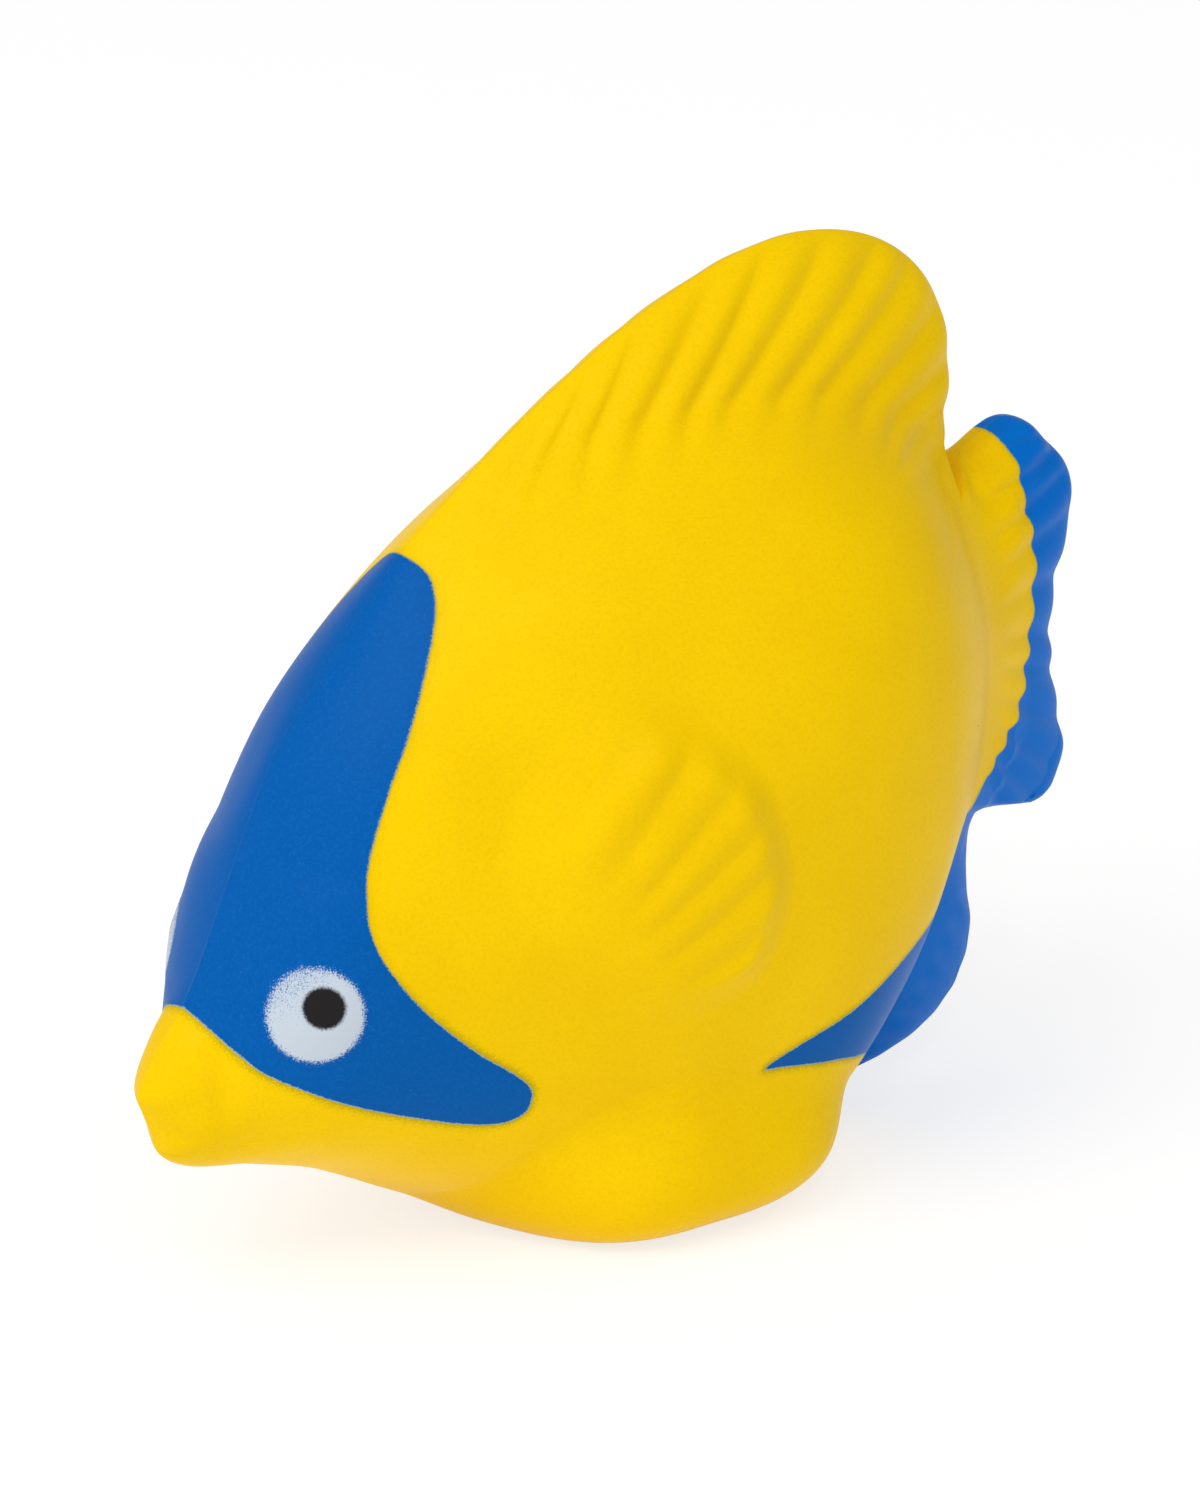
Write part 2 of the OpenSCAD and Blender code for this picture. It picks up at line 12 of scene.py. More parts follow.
import bmesh
import bpy
import numpy as np
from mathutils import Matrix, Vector


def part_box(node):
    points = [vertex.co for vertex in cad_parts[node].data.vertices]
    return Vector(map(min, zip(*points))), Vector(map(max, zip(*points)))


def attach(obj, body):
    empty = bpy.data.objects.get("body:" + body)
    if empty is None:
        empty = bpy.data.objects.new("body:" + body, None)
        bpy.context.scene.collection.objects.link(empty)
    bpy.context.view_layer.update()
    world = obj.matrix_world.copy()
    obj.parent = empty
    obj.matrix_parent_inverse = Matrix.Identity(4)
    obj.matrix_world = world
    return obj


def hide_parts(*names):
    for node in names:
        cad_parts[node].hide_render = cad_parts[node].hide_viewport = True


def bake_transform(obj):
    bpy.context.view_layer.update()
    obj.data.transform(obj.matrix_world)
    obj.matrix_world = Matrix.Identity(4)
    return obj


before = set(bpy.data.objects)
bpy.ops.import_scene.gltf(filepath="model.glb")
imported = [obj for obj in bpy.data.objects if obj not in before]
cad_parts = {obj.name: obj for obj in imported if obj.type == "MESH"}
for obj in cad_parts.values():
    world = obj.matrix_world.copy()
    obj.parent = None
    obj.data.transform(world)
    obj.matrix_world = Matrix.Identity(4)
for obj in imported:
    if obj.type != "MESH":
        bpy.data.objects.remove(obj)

bl_info = {
    "name": "Tropical Fish Stress Toy",
    "version": (1, 0, 0),
    "blender": (4, 5, 0),
    "location": "3D View > Sidebar > Fish",
    "description": "Dresses the solids of a foam fish with its moulded skin and sprayed coats",
    "category": "Add Mesh",
}

MM = 0.001
SIDES = {"left": -1, "right": 1}
# A length that nothing reaches, and the least gap that counts
FAR = 1e6
LEAST = 1e-9

# Sections of the body: x, bottom, level of greatest width, top, half width, fullness of the upper half
SECTIONS = np.array([
    [-50.4, 14, 17, 20, 0, 2], [-49.2, 13.3, 16.3, 21.4, 2.7, 0.9], [-46.5, 12.3, 17, 26.5, 4.9, 0.9],
    [-44.5, 11.8, 18, 30, 5.5, 1.3], [-42, 11, 23.5, 40, 7.9, 2], [-37, 9.2, 26, 45.4, 12, 2],
    [-30, 5.9, 28, 55.2, 14.7, 1.8], [-21, 2, 30, 62, 17.6, 1.6], [-10, -1, 34, 66.8, 20.6, 1.7],
    [2, -3, 37, 69.5, 22.2, 1.9], [12, -2, 40, 70, 22, 2], [21, 6.6, 42, 68, 19.3, 1.9],
    [28, 16.5, 43, 63.6, 14.6, 1.6], [33, 22, 43, 57.4, 9.6, 1.5], [37, 26, 43, 53, 6.2, 1.5],
    [40, 31, 43, 53, 0, 2],
])
# Outline of the middle plane, counted round from the brow by the lip, belly, tail and back
OUTLINE = np.array([
    [-39.6, 38.6], [-43, 31], [-45.5, 26.2], [-48.2, 23], [-50, 19.5], [-49.5, 17.6],
    [-48.8, 15.8], [-47.9, 13.5], [-45.5, 12], [-40, 10.8], [-33, 8.5], [-24.5, 4],
    [-18, 0.4], [-13.5, -1.4], [-2, -2.1], [14, -0.8], [25, 1.6], [29.4, 2.5], [33.7, 4.2], [36.9, 6.8],
    [38.5, 9.7], [39.1, 12.8], [38.3, 18.2], [39, 24], [43, 23.6], [46.3, 22.9],
    [48.6, 24.6], [49.5, 27.3], [48.9, 30.7], [48, 34.7], [47.6, 39.6], [48.1, 44],
    [49.5, 48.5], [49.6, 53.4], [46.6, 57.1], [42, 60], [38, 58.2], [34.4, 56.4],
    [34.6, 62], [35.4, 67], [34.8, 71], [32, 75.9], [27, 79.5], [19.5, 81.3],
    [12.6, 80.7], [4.4, 78.1], [-6, 72.9], [-15.7, 66.6], [-24, 60.1], [-29.5, 54], [-36, 46],
])
MIDDLE = np.array([2.0, 39.0])
# Fin webs over the angle round the middle: thin on the face and belly, full on the back, tail and anal fin
WEB_ANGLES = [-180, -60, -48, 120, 140, 180]
WEB_SHARES = [0.25, 0.25, 1, 1, 0.25, 0.25]
# Grooves between the rays of the back fin, the tail and a side fin: x and z of each one's start and end
DORSAL_GROOVES = np.array([
    [-17, 63.2, -10, 69.6], [-12.3, 65.2, -5.9, 71.8], [-8, 66, -2, 73], [-2.9, 67.4, 6.7, 77.3],
    [2.3, 68.5, 13.5, 79.6], [6.6, 69, 17.5, 77.8], [11.3, 68.7, 24.2, 77.4], [15.8, 68.1, 27.2, 74.7],
    [20, 66.4, 29.4, 70.5], [22.5, 64.4, 30, 66.2], [23.7, 62.6, 29.9, 62.7], [24, 60.8, 30, 59.5],
])
TAIL_GROOVES = np.array([
    [34.5, 59.4, 39, 60.1], [35.1, 56.9, 40.3, 57.6], [36.4, 54.4, 41.4, 55.2], [37.2, 51.4, 41.6, 52.3],
    [37.5, 48.5, 42.2, 49], [37, 45.3, 42.4, 44.9], [37.3, 42.1, 42.2, 40.6], [37.6, 39.4, 41.5, 37.8],
    [37.7, 36.5, 40.7, 34.8], [37.4, 33.8, 40, 31.9], [37, 31, 40, 28.4], [36.8, 28, 40, 24.6],
])
PECTORAL_GROOVES = np.array([
    [-20.2, 41.2, -11.9, 48.6], [-15.4, 37.2, -8.1, 46], [-13.5, 34.6, -4.1, 43.4],
    [-12.5, 31.8, -2.1, 39.2], [-10.8, 29.1, -0.8, 35.4], [-8.1, 26.7, -1.6, 29.6], [-6.5, 24.6, -2, 25.8],
])
# Scallops of the tail's rim: their height, mean ridge, and fades at either end, as angles round the middle
RIM_SCALLOP = 0.3
MEAN_RIDGE = 0.6
SCALLOP_FADES = ((-0.27, -0.19), (0.2, 0.12))
# Lines where pieces meet: the tail's and back fin's roots, where the trunk ends, and the belly's level
TRUNK_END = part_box("trunk")[1]
TAIL_X = TRUNK_END[0] / MM
CHORD_Z = TRUNK_END[2] / MM
BELLY_Z = 14.0
# Anal fin: the line of its root, the direction out of it, and the level and place it stays below and behind
ANAL_ROOT = np.array([[24.0, 2.0], [38.0, 22.0]])
ANAL_OUT = (ANAL_ROOT[1] - ANAL_ROOT[0])[::-1] * [1, -1]
ANAL_TOP = 24
ANAL_FRONT = 20

# Outline of a side fin, from its front round by the back and down
PECTORAL_LOOP = [
    (-21, 38.6), (-18.8, 43), (-15.4, 46.6), (-11.1, 48.3), (-6.9, 46.9), (-4.2, 44.7), (-1.9, 41.4),
    (-0.6, 36.8), (0, 33), (-0.7, 29.2), (-2.5, 25.7), (-6.5, 24.2), (-10.7, 25), (-15, 28.5), (-19, 34),
]
# Stencil of the blue mask, from the forehead down its rear edge, round its tip and forward to the snout
MASK_LOOP = [
    (-24.6, 63.2), (-22.9, 61.6), (-22.1, 60.4), (-22.4, 59.1), (-23.2, 57.5), (-25.5, 53.9), (-28.2, 49.7),
    (-30.9, 45.4), (-33.2, 40.8), (-34.4, 37.2), (-34.7, 34.5), (-33.8, 31.4), (-31.1, 27.3), (-26.9, 23),
    (-23.2, 20.1), (-21.4, 18.3), (-21.1, 16.7), (-21.7, 15.4), (-23.7, 14.9), (-28, 15.8), (-35.6, 18.6),
    (-41.7, 21.6), (-43.7, 23.5), (-44.8, 25.1), (-45.5, 26.5), (-46, 28.5), (-45, 36), (-42, 47),
    (-35, 58), (-28, 66),
]
# Stencil of the blue on the rear belly, from its front tip back above the anal fin and forward again below
REAR_LOOP = [
    (1.3, 15.1), (4.6, 16.6), (10, 18.2), (16.9, 20.9), (24, 22.8), (31, 23.8), (38, 24.2), (44, 22),
    (42, 4), (30, -3), (23, -2), (20.5, 5.5), (16.5, 10.6), (11.7, 12.7), (7.7, 13.7), (3.6, 14.6),
]
# Stencil of the tail's blue edge, up its front and round behind the tail
BAND_LOOP = [
    (32.5, 18), (33.6, 25), (35.4, 28.6), (37.6, 31.2), (39.7, 33.3), (41.1, 34.9), (41.9, 37.8),
    (42.5, 40.5), (42.8, 44.9), (42.6, 49), (41.8, 52.3), (41.4, 55), (41.2, 56.8), (40.7, 58),
    (40.2, 58.8), (40, 60.5), (40.6, 64), (48, 64), (56, 54), (56, 28), (50, 17),
]


# A size in metres that a user may change
length = partial(bpy.props.FloatProperty, unit="LENGTH")


class FishSkin(bpy.types.PropertyGroup):
    """Sizes of the moulded skin."""

    columns: bpy.props.IntProperty(
        name="Columns", description="Points round the fish's middle", default=880)
    rows: bpy.props.IntProperty(
        name="Rows", description="Points from the fish's middle to its outline", default=104)
    fin_rows: bpy.props.IntProperty(
        name="Fin Rows", description="Points from a fin's root to its edge", default=64)
    foot_x: length(name="Foot Place", description="Middle of the foot along the fish", default=-1.4 * MM)
    foot_lean: length(
        name="Foot Lean", description="How far the sole lies forward of the foot's middle level",
        default=1.2 * MM)
    foot_length: length(name="Foot Length", description="Length of the foot", default=36.8 * MM)
    foot_width: length(
        name="Foot Width", description="Width of the foot at its widest level", default=42.4 * MM)
    foot_level: length(
        name="Foot Level", description="Level of the foot's greatest width", default=4 * MM)
    sole_round: length(
        name="Sole Round", description="Radius of the edge round the sole", default=1.2 * MM)
    dorsal_ray: length(
        name="Back Fin Ray", description="Height of a back fin ray's crest", default=0.5 * MM)
    tail_ray: length(name="Tail Ray", description="Height of a tail ray's crest", default=0.42 * MM)
    anal_ray: length(
        name="Anal Fin Ray", description="Height of an anal fin ray's crest", default=0.15 * MM)
    pectoral_rise: length(
        name="Side Fin Rise", description="How far a side fin stands out", default=1.3 * MM)
    pectoral_ray: length(
        name="Side Fin Ray", description="Height of a side fin ray's crest", default=0.31 * MM)
    eye_rise: length(
        name="Eye Rise", description="How far an eye swells out of the head", default=0.7 * MM)


class FishPaint(bpy.types.PropertyGroup):
    """Colours and sizes of the sprayed coats."""

    yellow: bpy.props.StringProperty(
        name="Yellow", description="Colour of the foam's own skin, as sRGB hex", default="F7CC00")
    blue: bpy.props.StringProperty(
        name="Blue", description="Colour of the mask, rear and tail coats, as sRGB hex", default="0058A6")
    # The tail's lighter blue is partly thinner paint and partly painted light, where more light falls
    tail_blue_and_painted_light: bpy.props.StringProperty(
        name="Tail Blue", description="Colour of the blue where it lies thinner, on the tail, as sRGB hex",
        default="006ECF")
    white: bpy.props.StringProperty(
        name="White", description="Colour of an eye's coat, as sRGB hex", default="C2CDD8")
    black: bpy.props.StringProperty(
        name="Black", description="Colour of a pupil's coat, as sRGB hex", default="242222")
    eye_size: length(name="Eye Size", description="Diameter of the white of an eye", default=8.5 * MM)
    pupil_size: length(name="Pupil Size", description="Diameter of a pupil", default=3.6 * MM)
    mist: length(
        name="Mist", description="Width of the stray spray beside a stencil's edge", default=1.5 * MM)


class FishStage(bpy.types.PropertyGroup):
    """Camera and light, as in the photograph."""

    azimuth: bpy.props.FloatProperty(
        name="Azimuth", description="Camera's turn about the upright axis",
        default=radians(-37), subtype="ANGLE")
    elevation: bpy.props.FloatProperty(
        name="Elevation", description="Camera's height as an angle", default=radians(21.5), subtype="ANGLE")
    distance: length(name="Distance", description="From the camera to its target", default=700 * MM)
    lens: bpy.props.FloatProperty(
        name="Lens", description="Focal length for a 36 mm wide sensor", default=245.7)
    sky: bpy.props.FloatProperty(
        name="Sky", description="Strength of the light from the front", default=0.84)
    sky_rear: bpy.props.FloatProperty(
        name="Rear Sky", description="Strength of the light from behind the fish's tail", default=0.42)
    key: bpy.props.FloatProperty(
        name="Key", description="Power of the soft light from the upper left", default=2.4, unit="POWER")
    fill: bpy.props.FloatProperty(
        name="Fill", description="Power of the light above the camera", default=0.42, unit="POWER")


def smooth_step(low, high, value):
    """Zero up to low, one from high on, and 3t² - 2t³ between them."""
    t = np.clip((value - low) / (high - low), 0, 1)
    return t * t * (3 - 2 * t)


def window(value, start, end):
    """One between two fades and zero outside them: the product of the two."""
    return smooth_step(*start, value) * smooth_step(*end, value)


def smooth_max(a, b, k):
    """The larger of a and b, with a parabola of width k where they are close."""
    t = np.clip(0.5 + 0.5 * (a - b) / k, 0, 1)
    return b + (a - b) * t + k * t * (1 - t)


def curve(rows, x):
    """Columns of rows at x: cubic pieces whose slopes come from each row's two neighbours."""
    at = rows[:, 0]
    slopes = np.empty_like(rows)
    slopes[1:-1] = (rows[2:] - rows[:-2]) / (at[2:] - at[:-2])[:, None]
    slopes[0] = (rows[1] - rows[0]) / (at[1] - at[0])
    slopes[-1] = (rows[-1] - rows[-2]) / (at[-1] - at[-2])
    i = np.clip(np.searchsorted(at, x, "right") - 1, 0, len(at) - 2)
    w = (at[i + 1] - at[i])[..., None]
    t = (x[..., None] - at[i][..., None]) / w
    start = (1 + 2 * t) * (1 - t) ** 2 * rows[i] + t * (1 - t) ** 2 * w * slopes[i]
    return start + t**2 * (3 - 2 * t) * rows[i + 1] + t**2 * (t - 1) * w * slopes[i + 1]


def round_loop(points, per_span=10):
    """Closed curve through the points, with slopes from each point's two neighbours."""
    p = np.array(points, float)
    rows = np.column_stack([np.arange(-2, len(p) + 3), np.vstack([p[-2:], p, p[:3]])])
    return curve(rows, np.arange(len(p) * per_span) / per_span)[:, 1:]


def inside_by(x, z, loop, margin=4.0):
    """Distance of each place to a closed loop, positive inside: the least over the loop's straight pieces.

    It is worked out in a box with a margin round the loop, and is minus the margin outside that box.
    """
    low, high = loop.min(axis=0) - margin, loop.max(axis=0) + margin
    close = (x > low[0]) & (x < high[0]) & (z > low[1]) & (z < high[1])
    px, pz = x[close], z[close]
    nearest = np.full(px.shape, FAR)
    within = np.zeros(px.shape, bool)
    for (ax, az), (bx, bz) in zip(loop, np.roll(loop, -1, axis=0)):
        dx, dz = bx - ax, bz - az
        t = np.clip(((px - ax) * dx + (pz - az) * dz) / (dx * dx + dz * dz), 0, 1)
        nearest = np.minimum(nearest, (px - ax - t * dx) ** 2 + (pz - az - t * dz) ** 2)
        if az != bz:
            within ^= ((az > pz) != (bz > pz)) & (px < ax + (pz - az) * dx / dz)
    depth = np.full(x.shape, -margin)
    depth[close] = np.where(within, 1, -1) * np.sqrt(nearest)
    return depth


def between_grooves(x, z, grooves):
    """How many grooves each place lies past, with fractions by its distances to the two on either side.

    The second result is how far the place lies along them from their starts, shared out the same way.
    """
    start, run = grooves[:, :2], grooves[:, 2:] - grooves[:, :2]
    run = run / np.hypot(run[:, 0], run[:, 1])[:, None]
    past = [(x - sx) * dz - (z - sz) * dx for (sx, sz), (dx, dz) in zip(start, run)]
    along = [(x - sx) * dx + (z - sz) * dz for (sx, sz), (dx, dz) in zip(start, run)]
    count, reach = np.zeros(x.shape), along[0]
    for i in range(len(grooves) - 1):
        share = np.clip(past[i] / np.maximum(past[i] - past[i + 1], LEAST), 0, 1)
        count = count + share
        reach = reach + share * (along[i + 1] - along[i])
    return count, reach


def ridges(count, soft=0.2):
    """Round ridges with grooves at whole counts, from 0 in a groove to 1 on a crest: a softened |sin|.

    The first ridge starts flat, as sin².
    """
    wave = np.sin(pi * count) ** 2
    ridge = (np.sqrt(wave + soft) - soft**0.5) / ((1 + soft) ** 0.5 - soft**0.5)
    return np.where(count < 0.5, wave, ridge)


def scallops(x, z):
    """Waves along the tail's edges, one for each ray: its ridges about their mean height."""
    return ridges(between_grooves(x, z, TAIL_GROOVES)[0]) - MEAN_RIDGE


def polar(x, z):
    """Angle and radius of each place round the middle."""
    return np.arctan2(z - MIDDLE[1], x - MIDDLE[0]), np.hypot(x - MIDDLE[0], z - MIDDLE[1])


def outline_rows():
    """The outline as a radius over the angle round the middle, repeated past both ends."""
    rows = np.column_stack(polar(OUTLINE[:, 0], OUTLINE[:, 1]))
    turn = np.array([2 * pi, 0])
    return np.vstack([rows[-2:] - turn, rows, rows[:3] + turn])


RIM_ROWS = outline_rows()


def rim(angle):
    """Radius of the outline at an angle round the middle, scalloped between the tail's rays."""
    radius = curve(RIM_ROWS, angle)[..., 1]
    x, z = MIDDLE[0] + radius * np.cos(angle), MIDDLE[1] + radius * np.sin(angle)
    return radius + RIM_SCALLOP * scallops(x, z) * window(angle, *SCALLOP_FADES)


def softened(radius_at, angle, spread=0.12, steps=1440):
    """A radius round the middle, averaged over a bell of angles to smooth out the notch before the tail."""
    turns = np.linspace(-pi, pi, steps, endpoint=False)
    bell = np.fft.ifftshift(np.exp(-0.5 * (turns / spread) ** 2))
    around = np.fft.ifft(np.fft.fft(radius_at(turns)) * np.fft.fft(bell / bell.sum())).real
    return np.interp(angle, turns, around, period=2 * pi)


def soft_rim(angle):
    """Radius of the outline without its scallops, averaged over a bell of angles."""
    return softened(lambda turns: curve(RIM_ROWS, turns)[:, 1], angle)


def from_anal_root(x, z):
    """How far each place lies along the anal fin's root, and how far out past it, by dot products."""
    out_x, out_z = ANAL_OUT / np.hypot(*ANAL_OUT)
    dx, dz = x - ANAL_ROOT[0, 0], z - ANAL_ROOT[0, 1]
    return dz * out_x - dx * out_z, dx * out_x + dz * out_z


class Skin:
    """The half width of the fish over its middle plane, with the relief of the mould."""

    # Middles of an eye and its pupil, path of the mouth, and upper edge of the tail
    EYE = (-39.2, 27.5)
    PUPIL = (-38.5, 28.2)
    MOUTH = np.array([[-50.5, 17.6], [-49.4, 17.1], [-48.2, 16.4], [-46, 15.8]])
    TAIL_EDGE = ((34.4, 56.4), (42.0, 60.0))
    # Widths of squared half width over which the foot, by place along the fish, and the webs join the body
    FOOT_BLEND = ([-6, 14], [300, 110])
    WEB_BLEND = 50
    # Power of the rounding at the outline, what the snout and the notch before the tail add to it, and the
    # fades of these two, as angles in degrees
    EDGE = 14
    SNOUT_EDGE = 20
    NOTCH_EDGE = 60
    SNOUT = ((180, 191), (208, 202))
    NOTCH = ((20, 26), (34, 29.5))
    # Keel of the snout: width over which it draws in, power that keeps it near the outline, least distance
    KEEL = 0.8
    KEEL_POWER = 6
    KEEL_LEAST = 0.05

    def __init__(self, sizes):
        for name in sizes.__annotations__:
            value = getattr(sizes, name)
            setattr(self, name, value / MM if isinstance(value, float) else value)
        self.pectoral = round_loop(PECTORAL_LOOP)
        self.eye_at = self.on_skin(*self.EYE)
        self.pupil_at = self.on_skin(*self.PUPIL)

    def body_square(
            self, x, z, lower=2.2, root_fall=150, root_fade=(30, 37), taper=12, behind=-200, ahead=-20):
        """Squared half width of the body: a half width per section that falls off by a power of the height.

        Past a section's top and bottom it goes on falling in proportion, steeply at the tail's root. It
        tapers off behind the last section, and ends at a least value there and ahead of the first.
        """
        first, last = SECTIONS[0, 0], SECTIONS[-1, 0]
        s = curve(SECTIONS ** [1, 1, 1, 1, 2, 1], np.clip(x, first, last))
        bottom, level, top, wide, full = (s[..., i] for i in range(1, 6))
        up = z > level
        t = np.abs(z - level) / np.where(up, top - level, level - bottom)
        power = np.where(up, full, lower)
        fall = np.maximum(wide * power, root_fall * smooth_step(*root_fade, x))
        square = np.where(t < 1, wide * (1 - np.minimum(t, 1) ** power), fall * (1 - t))
        square = np.maximum(square - taper * np.maximum(x - last, 0), behind)
        return np.where(x < first, ahead, square)

    def foot_square(self, x, z, level=8, top=17.5, below=16, plan=3, sides=0.93):
        """Squared half width of the foot: a dome round its widest level, squarer than an ellipse.

        One power squares it in plan and one at its sides. It stands at its place at the given level and
        leans forward below that.
        """
        middle = self.foot_x + self.foot_lean * (z - level) / level
        along = np.abs(x - middle) / (self.foot_length / 2)
        up = z - self.foot_level
        tall = np.where(up > 0, top - self.foot_level, below)
        dome = 1 - along**plan - (up / tall) ** 2
        dome = np.where(dome > 0, np.maximum(dome, 0) ** sides, dome)
        return (self.foot_width / 2) ** 2 * dome

    def web_square(self, angle, radius, edge=2.4, growth=13):
        """Squared half width of the fin webs: thin at the outline, growing evenly towards the middle."""
        share = np.interp(np.degrees(angle), WEB_ANGLES, WEB_SHARES)
        return (share * (edge + growth * np.maximum(1 - radius / soft_rim(angle), 0))) ** 2

    def tail_top(self, x, z, depth=4.5, power=3, fades=((34.2, 37), (46, 42))):
        """Share of the squared half width that is left below the tail's upper edge: it falls by a power."""
        (ax, az), (bx, bz) = self.TAIL_EDGE
        below = ((x - ax) * (bz - az) - (z - az) * (bx - ax)) / np.hypot(bx - ax, bz - az)
        return 1 - window(x, *fades) * (1 - np.clip(below / depth, 0, 1)) ** power

    def plain(self, x, z):
        """Half width without relief: body, foot and fin webs run together, rounded off at the outline."""
        angle, radius = polar(x, z)
        reach = rim(angle)
        out = np.minimum(radius / reach, 1)
        square = smooth_max(self.body_square(x, z), self.foot_square(x, z), np.interp(x, *self.FOOT_BLEND))
        square = smooth_max(square, self.web_square(angle, radius), self.WEB_BLEND)
        snout, notch = (window(np.degrees(angle) % 360, *fades) for fades in (self.SNOUT, self.NOTCH))
        square = square * (1 - out ** (self.EDGE + self.SNOUT_EDGE * snout + self.NOTCH_EDGE * notch))
        inside = (1 - out) * reach + self.KEEL_LEAST
        keel = inside / (inside + self.KEEL * snout * out**self.KEEL_POWER)
        return np.sqrt(np.maximum(square * keel * self.tail_top(x, z), 0))

    def dorsal_rays(self, x, z, start=(-4.5, 3.5), level=(56, 60), first=0.4, later=(0.5, 3)):
        """Ridges that fan out over the back fin, each from its own start, with the first ones lower."""
        count, reach = between_grooves(x, z, DORSAL_GROOVES)
        height = self.dorsal_ray * (first + (1 - first) * smooth_step(*later, count))
        return height * ridges(count) * smooth_step(*start, reach) * smooth_step(*level, z)

    def tail_rays(self, x, z, soft=0.3, start=(-2, 3), behind=(34, 37)):
        """Ridges that fan out over the tail, fading in along each ray and behind the body."""
        count, reach = between_grooves(x, z, TAIL_GROOVES)
        return self.tail_ray * ridges(count, soft) * smooth_step(*start, reach) * smooth_step(*behind, x)

    def anal_rays(self, x, z, spacing=3, start=(0, 3)):
        """Crests across the anal fin, square to its root: a cosine along the root, fading in past it."""
        along, out = from_anal_root(x, z)
        return self.anal_ray * np.cos(2 * pi * along / spacing) * smooth_step(*start, out) * (z < ANAL_TOP)

    def pectoral_relief(
            self, x, z, soft=([-14, -5], [7, 4]), first=(1.2, 0.8), higher=0.8, start=(-3, 4),
            edge=(-1, 2.5)):
        """A side fin: a step up along its outline, softer in front, with crests along its rays.

        The first ray stands higher. The crests fade in along the rays and in from the edge.
        """
        depth = inside_by(x, z, self.pectoral)
        half_step = np.interp(x, *soft) / 2
        count, reach = between_grooves(x, z, PECTORAL_GROOVES)
        crest = self.pectoral_ray * (1 + higher * smooth_step(*first, count)) * ridges(count)
        crest = crest * smooth_step(*start, reach) * smooth_step(*edge, depth)
        return self.pectoral_rise * smooth_step(-half_step, half_step, depth) + crest

    def foot_rays(
            self, x, z, height=0.1, spacing=2.2, at=(-10, 14), slope=0.12, power=4,
            along=((-16, -12), (-2, -6)), level=((8, 10), (15.6, 14.4))):
        """Three faint crests along a pelvic fin, on the foot's side: a cosine raised to a power."""
        across = z - at[1] - slope * (x - at[0])
        crest = (0.5 + 0.5 * np.cos(2 * pi * across / spacing)) ** power
        return height * crest * window(x, *along) * window(z, *level)

    def mouth(self, x, z, depth=0.45, width=0.75, fade=(-45.5, -48.5)):
        """A bell-shaped groove along the lips, which fades out at the corner of the mouth."""
        path = curve(self.MOUTH, np.clip(x, self.MOUTH[0, 0], self.MOUTH[-1, 0]))[..., 1]
        return -depth * smooth_step(*fade, x) * np.exp(-(((z - path) / width) ** 2))

    def from_eye(self, x, z, h, centre):
        """Straight distance from the middle of an eye or pupil."""
        return np.sqrt((x - centre[0]) ** 2 + (z - centre[1]) ** 2 + (h - centre[2]) ** 2)

    def on_skin(self, x, z):
        """A place with its plain half width."""
        return x, z, float(self.plain(np.array([x], float), np.array([z], float))[0])

    def half(self, x, z, eye_reach=5.4, relief_edge=50):
        """Half width with relief, which fades by a power at the outline, and with a rounded sole's edge."""
        plain = self.plain(x, z)
        eye = np.clip(1 - (self.from_eye(x, z, plain, self.eye_at) / eye_reach) ** 2, 0, 1) ** 2
        relief = self.eye_rise * eye + self.dorsal_rays(x, z) + self.tail_rays(x, z) + self.anal_rays(x, z)
        relief = relief + self.pectoral_relief(x, z) + self.foot_rays(x, z) + self.mouth(x, z)
        low = np.clip(self.sole_round - z, 0, self.sole_round)
        corner = self.sole_round - np.sqrt(self.sole_round**2 - low**2)
        angle, radius = polar(x, z)
        fade = 1 - np.minimum(radius / rim(angle), 1) ** relief_edge
        return np.maximum(plain + relief * fade - corner, 0)

    def normal(self, x, z, y, e=0.02):
        """Outward normal of y² = half², from central differences of half² over a step e to each side."""
        slope_x = self.half(x + e, z) ** 2 - self.half(x - e, z) ** 2
        slope_z = self.half(x, z + e) ** 2 - self.half(x, z - e) ** 2
        n = np.stack([-slope_x / (2 * e), 2 * y, -slope_z / (2 * e)], axis=-1)
        return n / np.maximum(np.linalg.norm(n, axis=-1, keepdims=True), LEAST)


